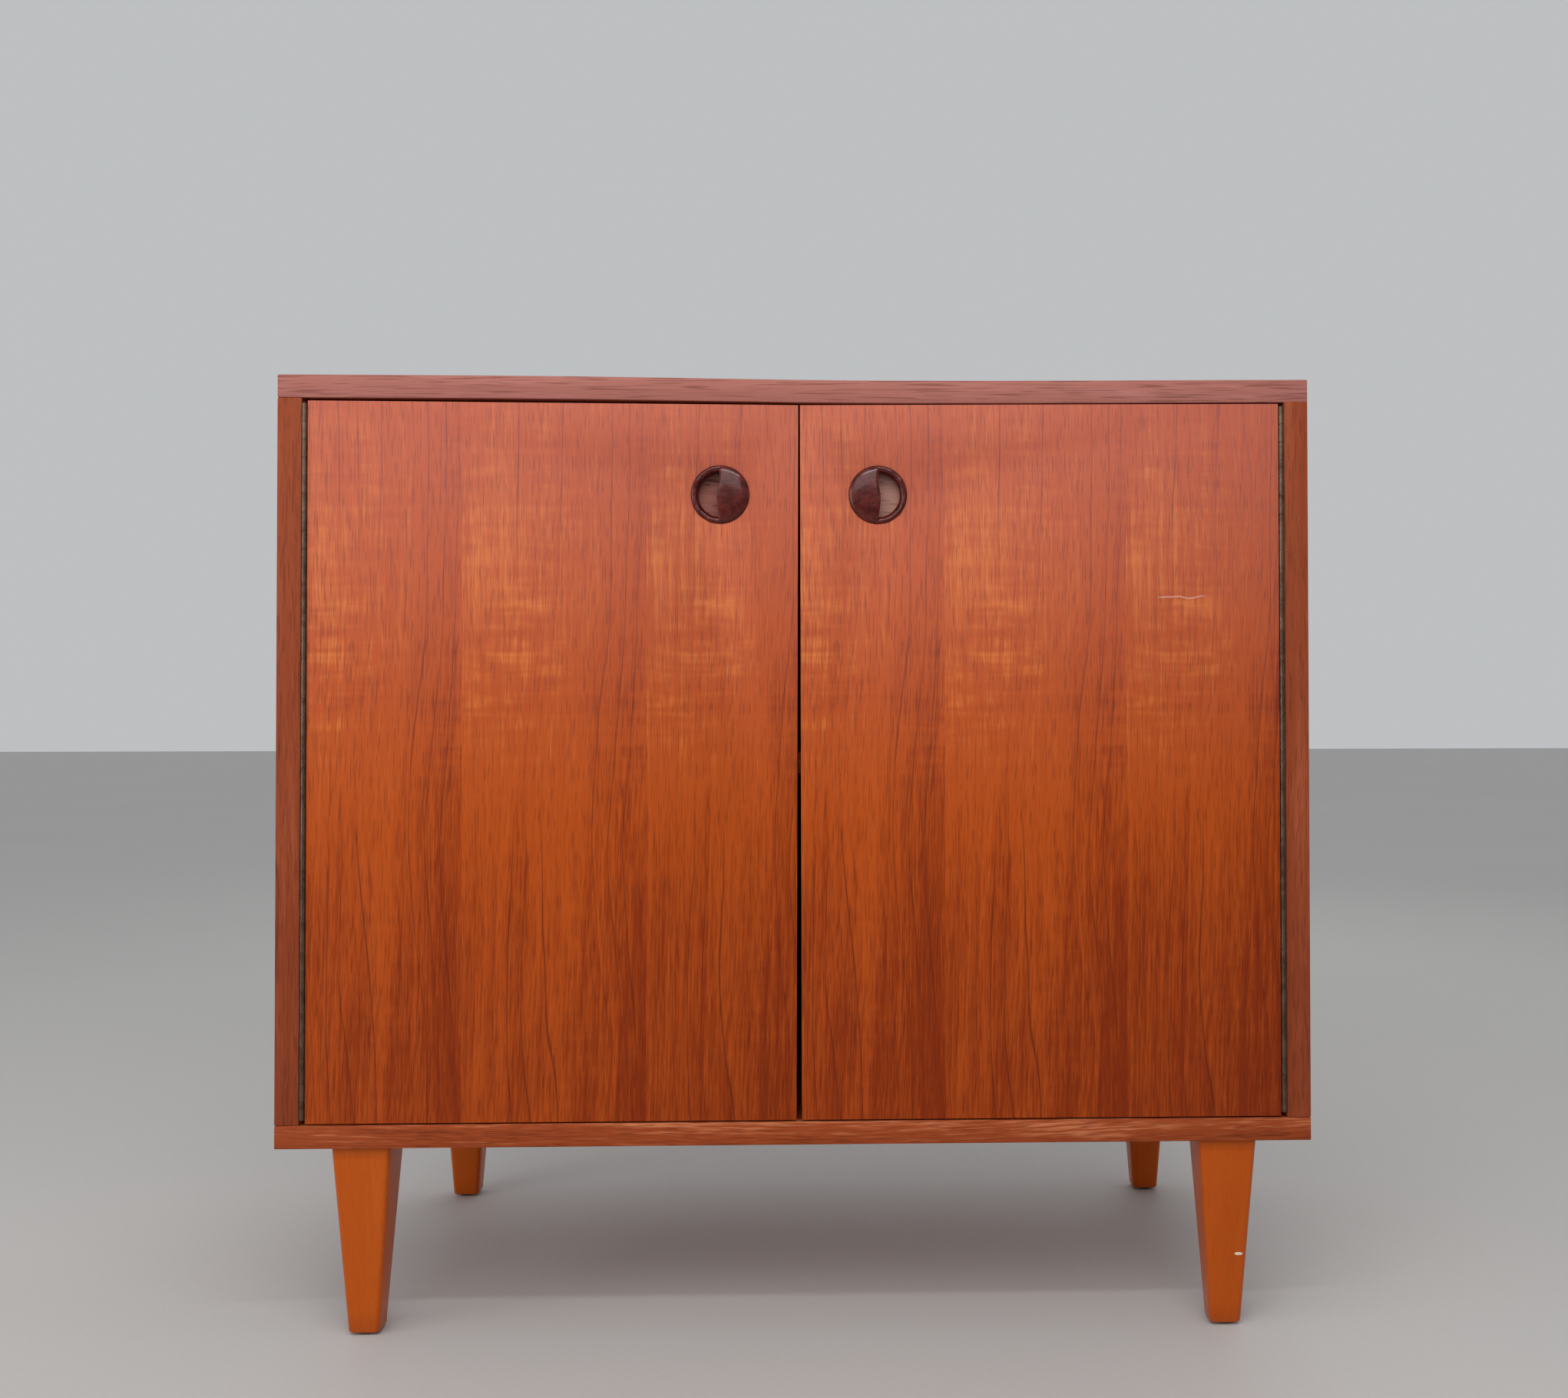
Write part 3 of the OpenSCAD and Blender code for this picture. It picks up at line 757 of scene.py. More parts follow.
class Palette:
    """All finishes of the table, made once and handed out by name."""

    def __init__(self) -> None:
        """Builds every material."""
        finishes = {
            # Both doors carry a painted reflection veil up high and painted shade low down; the
            # right door's lower part is shaded more.
            "left_door": Wood("left_door_teak", Grain.UP, DOOR_TONES, ripple=0.54,
                              leaves=Leaves(-0.4245), faded=0.22, drop=0.19, clouds=0.45,
                              streaks=0.26, seed=3.1),
            "right_door": Wood("right_door_teak", Grain.UP, DOOR_TONES, ripple=0.54,
                               leaves=Leaves(-0.0285), faded=0.22, drop=0.22, clouds=0.45,
                               streaks=0.26, seed=3.1,
                               scratch=Scratch(0.297, 0.340, 0.608)),
            "case": Wood("case_teak", Grain.ACROSS, CASE_TONES, seed=7.7),
            "side": Wood("side_teak", Grain.UP, CASE_TONES, seed=11.3),
            # The top strip's tones are teak made pale and mauve by a painted reflection veil.
            "top_edge": Wood("top_edge_teak", Grain.ACROSS,
                             ((0.20, 0.060, 0.048), (0.33, 0.120, 0.100), (0.43, 0.18, 0.158)),
                             vein=(0.11, 0.032, 0.028), seed=2.2, pores=0.5, pore_scale=900.0,
                             pore_length=26.0, roughness=0.5, veins=0.3, clouds=0.5),
            "side_edge": Wood("side_edge_teak", Grain.UP, EDGE_TONES, seed=5.9, pores=0.4,
                              veins=0.5),
            "bottom_edge": Wood("bottom_edge_teak", Grain.ACROSS,
                                ((0.16, 0.025, 0.007), (0.29, 0.052, 0.014),
                                 (0.52, 0.17, 0.075)), seed=9.4, pores=0.4, veins=0.4,
                                streaks=0.5),
            "leg": Wood("leg_stain", Grain.UP,
                        ((0.33, 0.042, 0.002), (0.44, 0.073, 0.003), (0.53, 0.11, 0.008)),
                        vein=(0.34, 0.05, 0.004), veins=0.15, pores=0.10, streaks=0.14,
                        clouds=0.6, roughness=0.36, seed=4.4, coat=0.1, gloss=0.4,
                        chip=Chip((0.367, FRONT + 0.0130, 0.061))),
            "platform": Wood("platform_teak", Grain.ACROSS, CASE_TONES, seed=15.0),
            "beech": Wood("beech", Grain.ACROSS,
                          ((0.42, 0.24, 0.13), (0.56, 0.36, 0.21), (0.66, 0.46, 0.29)),
                          vein=(0.32, 0.17, 0.09), veins=0.2, pores=0.45, streaks=0.2,
                          roughness=0.5, seed=6.1, sheen=(1.0, 0.9, 0.8)),
            "bore_left": Wood("bore_wood", Grain.ACROSS,
                              ((0.12, 0.042, 0.034), (0.26, 0.095, 0.080),
                               (0.36, 0.15, 0.13)), vein=(0.05, 0.015, 0.012), pores=0.7,
                              pore_scale=600.0, veins=0.6, roughness=0.6, seed=1.0,
                              vein_pitch=0.004),
            "bore_right": Wood("bore_bare_wood", Grain.ACROSS,
                               ((0.24, 0.115, 0.090), (0.40, 0.205, 0.165),
                                (0.50, 0.28, 0.23)), vein=(0.12, 0.06, 0.05), pores=0.4,
                               pore_scale=500.0, veins=0.3, roughness=0.7, seed=8.0,
                               vein_pitch=0.005),
            "pull": Resin("pull_resin"),
            "hinge": Metal("hinge_bronze", (0.16, 0.10, 0.070), (0.080, 0.048, 0.032), 0.34),
            "steel": Metal("zinc_steel", (0.62, 0.62, 0.60), (0.38, 0.37, 0.35), 0.35),
            "screw": Metal("screw_steel", (0.60, 0.58, 0.52), (0.30, 0.28, 0.24), 0.38),
            "paint": Coating("lift_paint", (0.030, 0.030, 0.032), (0.065, 0.062, 0.06), 0.42),
            "nylon": Coating("glide_nylon", (0.025, 0.025, 0.025), (0.06, 0.06, 0.06), 0.5),
            "catch": Coating("catch_plastic", (0.085, 0.045, 0.028), (0.13, 0.08, 0.055), 0.4),
            "board": Fibreboard("back_hardboard"),
        }
        self.made = {key: finish.material() for key, finish in finishes.items()}

    def __getitem__(self, key: str) -> bpy.types.Material:
        """Returns a material by its key."""
        return self.made[key]


# -------------------------------------------------------------- mesh helpers


def add_object(name: str, mesh: bpy.types.Mesh) -> bpy.types.Object:
    """Links a mesh to the scene as an object at the origin.

    Args:
        name: name of the object.
        mesh: its mesh.

    Returns:
        The object.
    """
    made = bpy.data.objects.new(name, mesh)
    bpy.context.scene.collection.objects.link(made)
    return made


def from_bmesh(name: str, bm: bmesh.types.BMesh, finishes: Iterable[bpy.types.Material],
               outward: bool = False, smooth: float = 35.0) -> bpy.types.Object:
    """Turns a bmesh into an object, smooth but for its sharp edges.

    Args:
        name: name of the object.
        bm: the bmesh, which is freed.
        finishes: materials, in slot order.
        outward: whether to recalculate the normals.
        smooth: angle in degrees above which an edge stays sharp.

    Returns:
        The object.
    """
    if outward:
        bmesh.ops.remove_doubles(bm, verts=bm.verts, dist=1e-6)
        bmesh.ops.recalc_face_normals(bm, faces=bm.faces)
    limit = math.radians(smooth)
    for face in bm.faces:
        face.smooth = True
    for edge in bm.edges:
        edge.smooth = len(edge.link_faces) == 2 and edge.calc_face_angle(0.0) < limit
    mesh = bpy.data.meshes.new(name)
    bm.to_mesh(mesh)
    bm.free()
    for finish in finishes:
        mesh.materials.append(finish)
    return add_object(name, mesh)


def node_bmesh(node: str) -> bmesh.types.BMesh:
    """Copies a CAD node's mesh, joins its loose triangles and clears its flat faces.

    Args:
        node: the CAD node.

    Returns:
        The copy.
    """
    bm = bmesh.new()
    bm.from_mesh(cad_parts[node].data)
    bmesh.ops.remove_doubles(bm, verts=bm.verts, dist=2e-6)
    bmesh.ops.dissolve_limit(bm, angle_limit=math.radians(0.6), verts=bm.verts, edges=bm.edges)
    return bm


def ease_edges(bm: bmesh.types.BMesh, width: float, segments: int = 2,
               least: float = 50.0) -> None:
    """Rounds a mesh's sharp edges.

    Args:
        bm: the mesh.
        width: width of the rounding.
        segments: its facets.
        least: smallest angle between faces that counts as sharp, in degrees.
    """
    limit = math.radians(least)
    sharp = [e for e in bm.edges if len(e.link_faces) == 2 and e.calc_face_angle(0.0) > limit]
    bmesh.ops.bevel(bm, geom=sharp, offset=width, segments=segments, profile=0.5,
                    affect="EDGES", clamp_overlap=True, offset_type="OFFSET")


def cut_along(bm: bmesh.types.BMesh, axis: int, places: Iterable[float]) -> None:
    """Cuts every face at planes square to an axis, so that the mesh can bend.

    Args:
        bm: the mesh.
        axis: 0, 1 or 2 for X, Y or Z.
        places: where the planes stand on the axis.
    """
    normal = Vector((0, 0, 0))
    normal[axis] = 1.0
    for place in places:
        bmesh.ops.bisect_plane(bm, geom=[*bm.verts, *bm.edges, *bm.faces],
                               plane_co=normal * place, plane_no=normal, dist=1e-7)


def sag_at(x: float, y: float) -> float:
    """Measures the drop of the table top.

    Args:
        x: place across the table.
        y: place from front to back.

    Returns:
        How far the top has dropped there, as a negative height.
    """
    reach = max(0.0, 1.0 - (y - FRONT) / SAG_DEPTH)
    fade = reach * reach * (3.0 - 2.0 * reach)
    spread = SAG_REACH[0] if x < SAG_PLACE else SAG_REACH[1]
    return -SAG * math.exp(-((x - SAG_PLACE) / spread) ** 2) * fade


def sag_top(bm: bmesh.types.BMesh) -> None:
    """Lets the front of a top piece drop a little towards mid width.

    Args:
        bm: the piece's mesh.
    """
    cut_along(bm, 0, [HALF_WIDTH * i / 10 for i in range(-9, 10)])
    cut_along(bm, 1, [FRONT + SAG_DEPTH * i / 6 for i in range(1, 7)])
    for vert in bm.verts:
        vert.co.z += sag_at(vert.co.x, vert.co.y)


def bridge(bm: bmesh.types.BMesh, rings: Sequence[Sequence[bmesh.types.BMVert]]) -> None:
    """Joins closed rings of equal length with four-sided faces, each ring to the next.

    Args:
        bm: the mesh that they are in.
        rings: the rings, in order.
    """
    for a, b in zip(rings, rings[1:]):
        for i in range(len(a)):
            j = (i + 1) % len(a)
            bm.faces.new((a[i], a[j], b[j], b[i]))


def dress(piece: bpy.types.Object, body: str, slot: str, *nodes: str) -> bpy.types.Object:
    """Hands a finished piece to the frame.

    Args:
        piece: the piece, in place.
        body: the CAD body that it rides on.
        slot: the record's material slot; not used.
        nodes: the CAD nodes that it stands for.

    Returns:
        The piece.
    """
    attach(piece, body)
    if nodes:
        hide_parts(*nodes)
    log.info("%s: %d faces on %s", piece.name, len(piece.data.polygons), body)
    return piece


def board(name: str, node: str, body: str, slot: str, finish: bpy.types.Material,
          ease: float = EASE, shape: Shaper | None = None) -> bpy.types.Object:
    """Makes a planed copy of a CAD node, with eased edges.

    Args:
        name: name of the piece.
        node: the CAD node it stands for.
        body: the CAD body.
        slot: the record's material slot.
        finish: the piece's material.
        ease: width of the rounded edges.
        shape: a change to the mesh after the edges are eased.

    Returns:
        The piece.
    """
    bm = node_bmesh(node)
    ease_edges(bm, ease)
    if shape:
        shape(bm)
    return dress(from_bmesh(name, bm, [finish]), body, slot, node)


def keep_node(node: str, finish: bpy.types.Material) -> None:
    """Gives a CAD node that stays on show its material.

    Args:
        node: the CAD node.
        finish: its material.
    """
    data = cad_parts[node].data
    data.materials.clear()
    data.materials.append(finish)


def islands(node: str) -> list[list[Vector]]:
    """Finds the separate solids of a CAD node.

    Args:
        node: the CAD node.

    Returns:
        The vertices of each solid.
    """
    bm = node_bmesh(node)
    bm.verts.ensure_lookup_table()
    seen: set[int] = set()
    found = []
    for start in bm.verts:
        if start.index in seen:
            continue
        seen.add(start.index)
        stack, part = [start], []
        while stack:
            vert = stack.pop()
            part.append(vert.co.copy())
            for edge in vert.link_edges:
                other = edge.other_vert(vert)
                if other.index not in seen:
                    seen.add(other.index)
                    stack.append(other)
        found.append(part)
    bm.free()
    return found


@dataclass(frozen=True)
class Station:
    """Where a fastener sits: its head's middle, the way it faces and its size."""

    place: Vector
    facing: Vector
    radius: float
    length: float


def stations(node: str) -> list[Station]:
    """Reads the fasteners of a CAD node: the long side is the axis, the wide end the head.

    Args:
        node: the CAD node.

    Returns:
        One station for each solid.
    """
    found = []
    for part in islands(node):
        low = Vector([min(v[i] for v in part) for i in range(3)])
        high = Vector([max(v[i] for v in part) for i in range(3)])
        size = high - low
        axis = max(range(3), key=lambda i: size[i])
        middle = (low + high) / 2
        ends = []
        for level, way in ((high[axis], 1.0), (low[axis], -1.0)):
            rim = [v for v in part if abs(v[axis] - level) < 1e-4]
            wide = max((Vector([v[i] - middle[i] if i != axis else 0 for i in range(3)]).length
                        for v in rim), default=0.0)
            ends.append((wide, level, way))
        wide, level, way = max(ends)
        facing = Vector((0, 0, 0))
        facing[axis] = way
        place = middle.copy()
        place[axis] = level
        found.append(Station(place, facing, wide, size[axis]))
    return found


def lathe(profile: Sequence[tuple[float, float]], steps: int = 24) -> bmesh.types.BMesh:
    """Turns a profile of (radius, height) about Z into a closed mesh.

    Args:
        profile: points from the lower pole to the upper one; both ends have radius 0.
        steps: divisions round the axis.

    Returns:
        The mesh.
    """
    bm = bmesh.new()
    rings = []
    for radius, height in profile:
        if radius < 1e-9:
            rings.append([bm.verts.new((0, 0, height))])
            continue
        turn = [FULL_TURN * i / steps for i in range(steps)]
        rings.append([bm.verts.new((radius * math.cos(a), radius * math.sin(a), height))
                      for a in turn])
    for lower, upper in zip(rings, rings[1:]):
        for i in range(steps):
            j = (i + 1) % steps
            quad = [lower[i % len(lower)], lower[j % len(lower)],
                    upper[j % len(upper)], upper[i % len(upper)]]
            corners = list(dict.fromkeys(quad))
            if len(corners) > 2:
                bm.faces.new(corners)
    return bm


# ------------------------------------------------------------ geometry nodes


class ShapeTree(NodeTree):
    """A Geometry Nodes tree with named inputs."""

    def __init__(self, name: str, inputs: Sequence[tuple[str, str]]) -> None:
        """Starts a tree.

        Args:
            name: name of the tree.
            inputs: name and socket type of each input after the geometry.
        """
        super().__init__(bpy.data.node_groups.new(name, "GeometryNodeTree"))
        face = self.tree.interface
        face.new_socket("Geometry", in_out="INPUT", socket_type="NodeSocketGeometry")
        self.keys = {key: face.new_socket(key, in_out="INPUT", socket_type=kind).identifier
                     for key, kind in inputs}
        face.new_socket("Geometry", in_out="OUTPUT", socket_type="NodeSocketGeometry")
        self.given = self.tree.nodes.new("NodeGroupInput").outputs

    def close(self, instances: Socket) -> None:
        """Ends the tree with real geometry that has its material.

        Args:
            instances: the instances that the tree has placed.
        """
        real = self.node("GeometryNodeRealizeInstances", {0: instances})
        dressed = self.node("GeometryNodeSetMaterial",
                            {"Geometry": real.outputs[0], "Material": self.given["Finish"]})
        self.node("NodeGroupOutput", {0: dressed.outputs[0]})

    def run(self, holder: bpy.types.Object, values: dict[str, object]) -> None:
        """Puts the tree on an object, bakes the result into its mesh and takes the tree off.

        Args:
            holder: the object, whose mesh is replaced.
            values: value of each named input.
        """
        modifier = holder.modifiers.new("build", "NODES")
        modifier.node_group = self.tree
        for key, value in values.items():
            modifier[self.keys[key]] = value
        graph = bpy.context.evaluated_depsgraph_get()
        baked = bpy.data.meshes.new_from_object(holder.evaluated_get(graph))
        holder.modifiers.remove(modifier)
        holder.data = baked
        baked.name = holder.name


class Fasteners:
    """Sets copies of a turned shape on points, each facing its own way."""

    def __init__(self) -> None:
        """Builds the tree."""
        t = ShapeTree("fasteners_on_points", [
            ("Shape", "NodeSocketObject"), ("Finish", "NodeSocketMaterial"),
            ("Turn", "NodeSocketFloat"), ("Seed", "NodeSocketInt")])
        shape = t.node("GeometryNodeObjectInfo", {"Object": t.given["Shape"]})
        facing, stretch = (
            t.node("GeometryNodeInputNamedAttribute", {"Name": name}, data_type="FLOAT_VECTOR")
            for name in ("facing", "stretch"))
        aligned = t.node("FunctionNodeAlignRotationToVector",
                         {"Vector": facing.outputs[0]}, axis="Z")
        random = t.node("FunctionNodeRandomValue", {3: t.given["Turn"], 8: t.given["Seed"]},
                        data_type="FLOAT")
        about = t.node("FunctionNodeAxisAngleToRotation",
                       {"Axis": (0.0, 0.0, 1.0), "Angle": random.outputs[1]})
        turned = t.node("FunctionNodeRotateRotation",
                        {"Rotation": aligned.outputs[0], "Rotate By": about.outputs[0]},
                        rotation_space="LOCAL")
        placed = t.node("GeometryNodeInstanceOnPoints", {
            "Points": t.given["Geometry"], "Instance": shape.outputs["Geometry"],
            "Rotation": turned.outputs[0], "Scale": stretch.outputs[0]})
        t.close(placed.outputs[0])
        self.tree = t

    def fill(self, name: str, spots: Sequence[Station], shape: bmesh.types.BMesh,
             finish: bpy.types.Material, turn: float = FULL_TURN, seed: int = 5,
             ) -> bpy.types.Object:
        """Makes one piece of all the fasteners of a group.

        Args:
            name: name of the piece.
            spots: the stations; the shape has radius 1 and length 1.
            shape: the unit shape, head at the origin and body along -Z.
            finish: the material.
            turn: the largest random turn about the axis.
            seed: seed of the turns.

        Returns:
            The piece.
        """
        mesh = bpy.data.meshes.new(name)
        mesh.from_pydata([tuple(s.place) for s in spots], [], [])
        for key, rows in (("facing", [tuple(s.facing) for s in spots]),
                          ("stretch", [(s.radius, s.radius, s.length) for s in spots])):
            layer = mesh.attributes.new(key, "FLOAT_VECTOR", "POINT")
            layer.data.foreach_set("vector", [v for row in rows for v in row])
        holder = add_object(name, mesh)
        pattern = from_bmesh(name + "_shape", shape, [finish], outward=True)
        self.tree.run(holder, {"Shape": pattern, "Finish": finish, "Turn": turn, "Seed": seed})
        bpy.data.objects.remove(pattern)
        return holder

    def screws(self, node: str, body: str, finish: bpy.types.Material) -> None:
        """Makes and hands over the screws of one CAD node.

        Args:
            node: the CAD node.
            body: the CAD body that they ride on.
            finish: their material.
        """
        made = self.fill(node + "_set", stations(node), screw_shape(), finish)
        dress(made, body, "bright_screws", node)


class Row:
    """Sets copies of a shape in a straight row, as a hinge's knuckles are."""

    def __init__(self) -> None:
        """Builds the tree."""
        t = ShapeTree("row_of_shapes", [
            ("Shape", "NodeSocketObject"), ("Finish", "NodeSocketMaterial"),
            ("Count", "NodeSocketInt"), ("Start", "NodeSocketVector"),
            ("Step", "NodeSocketVector")])
        shape = t.node("GeometryNodeObjectInfo", {"Object": t.given["Shape"]})
        line = t.node("GeometryNodeMeshLine", {
            "Count": t.given["Count"], "Start Location": t.given["Start"],
            "Offset": t.given["Step"]}, mode="OFFSET")
        placed = t.node("GeometryNodeInstanceOnPoints", {
            "Points": line.outputs[0], "Instance": shape.outputs["Geometry"]})
        t.close(placed.outputs[0])
        self.tree = t

    def fill(self, name: str, shape: bpy.types.Object, finish: bpy.types.Material, count: int,
             start: Vector, step: Vector) -> bpy.types.Object:
        """Makes the row.

        Args:
            name: name of the piece.
            shape: the object that is repeated.
            finish: its material.
            count: number of copies.
            start: place of the first copy.
            step: distance to the next.

        Returns:
            The piece.
        """
        holder = add_object(name, bpy.data.meshes.new(name))
        self.tree.run(holder, {"Shape": shape, "Finish": finish, "Count": count,
                               "Start": tuple(start), "Step": tuple(step)})
        return holder


def screw_shape(slot_half: float = 0.11, slot_floor: float = -0.03,
                slot_reach: float = 0.96) -> bmesh.types.BMesh:
    """Makes a slotted countersunk screw of radius 1 and length 1, head up at the origin.

    Args:
        slot_half: half the width of the slot.
        slot_floor: height of its floor.
        slot_reach: how far it reaches from the axis.

    Returns:
        The mesh.
    """
    near_zero = 1e-6
    bm = lathe(SCREW_PROFILE, 20)
    cut_along(bm, 1, (slot_half, -slot_half))
    for vert in bm.verts:
        x, y, z = vert.co
        if z > -near_zero and abs(y) <= slot_half + near_zero and math.hypot(x, y) < slot_reach:
            vert.co.z = slot_floor
    return bm


# ------------------------------------------------------------ sub-assemblies


@dataclass
class Carcass:
    """The boards of the cabinet, their edge strips and the fastenings in them."""

    palette: Palette
    fasteners: Fasteners
    strip_ease: float = 0.0011
    board_ease: float = 0.0006
    catch_ease: float = 0.0012

    def build(self) -> None:
        """Makes and dresses every board and strip."""
        self._veneered("top_board", "top_panel", "case", sag_top)
        self._strip("top_strip", "top_lipping", "top_edge", "top_lipping", sag_top)
        self._veneered("bottom_board", "bottom_panel", "case")
        self._strip("bottom_strip", "bottom_lipping", "bottom_edge")
        for hand in Hand:
            self._veneered(f"{hand}_side_board", f"{hand}_side_panel", "side")
            self._strip(f"{hand}_side_strip", f"{hand}_side_lipping", "side_edge")
        board("hardboard_back", "back_panel", BASE, "back_board", self.palette["board"],
              TIGHT_EASE)
        for name, node in (("flap_rests", "flap_battens"),
                           ("platform_rests", "platform_cleats")):
            board(name, node, BASE, "beech", self.palette["beech"])
        board("catches", "door_catches", BASE, "catch_plastic", self.palette["catch"],
              self.catch_ease, self._drop_catches)
        keep_node("carcass_dowels", self.palette["beech"])
        for node in ("back_panel_screws", "cabinet_screws"):
            self.fasteners.screws(node, BASE, self.palette["screw"])

    def _veneered(self, name: str, node: str, finish: str, shape: Shaper | None = None) -> None:
        """Makes a veneered board."""
        board(name, node, BASE, "teak_veneer", self.palette[finish], self.board_ease, shape)

    def _strip(self, name: str, node: str, finish: str, slot: str = "edge_lipping",
               shape: Shaper | None = None) -> None:
        """Makes a solid strip for a front edge."""
        board(name, node, BASE, slot, self.palette[finish], self.strip_ease, shape)

    @staticmethod
    def _drop_catches(bm: bmesh.types.BMesh) -> None:
        """Moves the catches down with the board that they hang from."""
        for vert in bm.verts:
            vert.co.z += sag_at(vert.co.x, FRONT + CATCH_DEPTH)


@dataclass
class Legs:
    """Four tapered legs with softly rounded edges, on glides."""

    palette: Palette
    fasteners: Fasteners
    top: float = 0.048
    foot: float = 0.0255
    corner: float = 0.0042
    toe: float = 0.0016
    facets: int = 6
    glide_radius: float = 0.009
    glide_length: float = 0.016

    def build(self) -> None:
        """Makes the legs, their bolts and glides."""
        for node in ("front_left_leg", "front_right_leg", "rear_left_leg", "rear_right_leg"):
            leg = from_bmesh(node + "_turned", self._leg(node), [self.palette["leg"]],
                             outward=True, smooth=50.0)
            dress(leg, BASE, "leg_wood", node)
        for node in ("leg_hanger_bolts", "leg_inserts"):
            keep_node(node, self.palette["steel"])
        middles = [sum(part, Vector()) / len(part) for part in islands("leg_glides")]
        spots = [Station(Vector((m.x, m.y, 0.0)), Vector((0, 0, -1)), self.glide_radius,
                         self.glide_length) for m in middles]
        glides = self.fasteners.fill("nylon_glides", spots, lathe(GLIDE_PROFILE, 32),
                                     self.palette["nylon"])
        dress(glides, BASE, "glide_plastic", "leg_glides")

    def _leg(self, node: str) -> bmesh.types.BMesh:
        """Lofts one leg from its foot to its top.

        Args:
            node: the CAD node that gives the place.

        Returns:
            The mesh.
        """
        low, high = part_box(node)
        middle = (low + high) / 2
        tall = high.z - low.z
        levels = [(0.0, -self.toe), (self.toe * 0.3, -self.toe * 0.45), (self.toe, 0.0)]
        levels += [(tall * i / 8, 0.0) for i in range(1, 9)]
        bm = bmesh.new()
        rings = []
        for level, shrink in levels:
            width = self.foot + (self.top - self.foot) * level / tall + 2 * shrink
            rings.append([bm.verts.new((middle.x + x, middle.y + y, low.z + level))
                          for x, y in self._square(width)])
        bridge(bm, rings)
        bm.faces.new(list(reversed(rings[0])))
        bm.faces.new(rings[-1])
        return bm

    def _square(self, width: float) -> list[tuple[float, float]]:
        """Draws a square with rounded corners.

        Args:
            width: the square's width.

        Returns:
            The points of its outline.
        """
        radius = min(self.corner, width / 2.2)
        reach = width / 2 - radius
        outline = []
        for turn, (sx, sy) in enumerate(((1, 1), (-1, 1), (-1, -1), (1, -1))):
            for i in range(self.facets + 1):
                a = math.pi / 2 * (turn + i / self.facets)
                outline.append((sx * reach + radius * math.cos(a),
                                sy * reach + radius * math.sin(a)))
        return outline


@dataclass
class LongHinge:
    """A continuous hinge: two leaves with interlocking knuckles on a pin.

    Fixed and moving give the CAD nodes of each side: its leaf and its screws.
    """

    palette: Palette
    fasteners: Fasteners
    row: Row
    pin: str
    fixed: tuple[str, str]
    moving: tuple[str, str]
    moving_body: str
    radius: float = 0.0021
    pitch: float = 0.015
    gap: float = 0.0003
    chamfer: float = 0.0003
    pin_share: float = 0.55
    leaf_thick: float = 0.001
    steps: int = 20

    def build(self) -> None:
        """Makes both leaves with their knuckles and screws, and dresses the pin."""
        sides = ((self.fixed, BASE), (self.moving, self.moving_body))
        for first, ((leaf, _), body) in enumerate(sides):
            self._leaf(leaf, body, first)
        keep_node(self.pin, self.palette["steel"])
        for (_, screws), body in sides:
            self.fasteners.screws(screws, body, self.palette["screw"])

    def _leaf(self, node: str, body: str, first: int) -> None:
        """Makes one leaf.

        Args:
            node: the leaf's CAD node.
            body: the CAD body it rides on.
            first: 0 if its knuckles start at the hinge's end, 1 if one pitch in.
        """
        finish = self.palette["hinge"]
        low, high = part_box(self.pin)
        axis = max(range(3), key=lambda i: high[i] - low[i])
        start = (low + high) / 2
        start[axis] = low[axis] + self.pitch * (first + 0.5)
        step = Vector((0, 0, 0))
        step[axis] = 2 * self.pitch
        total = round((high[axis] - low[axis]) / self.pitch)
        count = (total - first + 1) // 2
        shape = from_bmesh(node + "_knuckle", self._knuckle(axis), [finish], outward=True)
        knuckles = self.row.fill(node + "_row", shape, finish, count, start, step)
        bm = bmesh.new()
        bm.from_mesh(knuckles.data)
        self._add_plate(bm, node, start, axis)
        for extra in (shape, knuckles):
            bpy.data.objects.remove(extra)
        dress(from_bmesh(node + "_rolled", bm, [finish]), body, "hinge_bronze", node)

    def _knuckle(self, axis: int) -> bmesh.types.BMesh:
        """Makes one knuckle, with eased ends.

        Args:
            axis: the pin's direction, 0 for X or 2 for Z.

        Returns:
            The mesh.
        """
        half = (self.pitch - self.gap) / 2
        inner, outer, c = self.radius * self.pin_share, self.radius, self.chamfer
        profile = [(inner, -half), (outer - c, -half), (outer, -half + c), (outer, 0.0),
                   (outer, half - c), (outer - c, half), (inner, half)]
        turn = [FULL_TURN * i / self.steps for i in range(self.steps)]
        bm = bmesh.new()
        rings = [[bm.verts.new((r * math.cos(a), r * math.sin(a), z)) for a in turn]
                 for r, z in profile]
        bridge(bm, rings + rings[:1])
        if axis == 0:
            bm.transform(Matrix.Rotation(math.pi / 2, 4, "Y"))
        return bm

    def _add_plate(self, bm: bmesh.types.BMesh, node: str, start: Vector, axis: int) -> None:
        """Adds the flat part of a leaf, from inside its knuckles to its far edge.

        Args:
            bm: the leaf's mesh.
            node: the leaf's CAD node.
            start: a point on the pin's axis.
            axis: the pin's direction.
        """
        low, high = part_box(node)
        deep, flat = (1, 0) if axis == 2 else (2, 1)
        way = 1.0 if abs(high[deep] - start[deep]) > abs(low[deep] - start[deep]) else -1.0
        side = 1.0 if high[flat] + low[flat] > 2 * start[flat] else -1.0
        outer = high[flat] if side > 0 else low[flat]
        reach = {flat: sorted((outer - side * self.leaf_thick, outer)),
                 deep: sorted((start[deep] + way * self.radius * 0.2,
                               high[deep] if way > 0 else low[deep])),
                 axis: (low[axis], high[axis])}
        corners = []
        for i in range(8):
            corner = Vector((0, 0, 0))
            for bit, direction in enumerate((flat, deep, axis)):
                corner[direction] = reach[direction][i >> bit & 1]
            corners.append(bm.verts.new(corner))
        faces = [bm.faces.new([corners[i] for i in quad]) for quad in (
            (0, 1, 3, 2), (4, 6, 7, 5), (0, 4, 5, 1), (2, 3, 7, 6), (0, 2, 6, 4), (1, 5, 7, 3))]
        bmesh.ops.recalc_face_normals(bm, faces=faces)


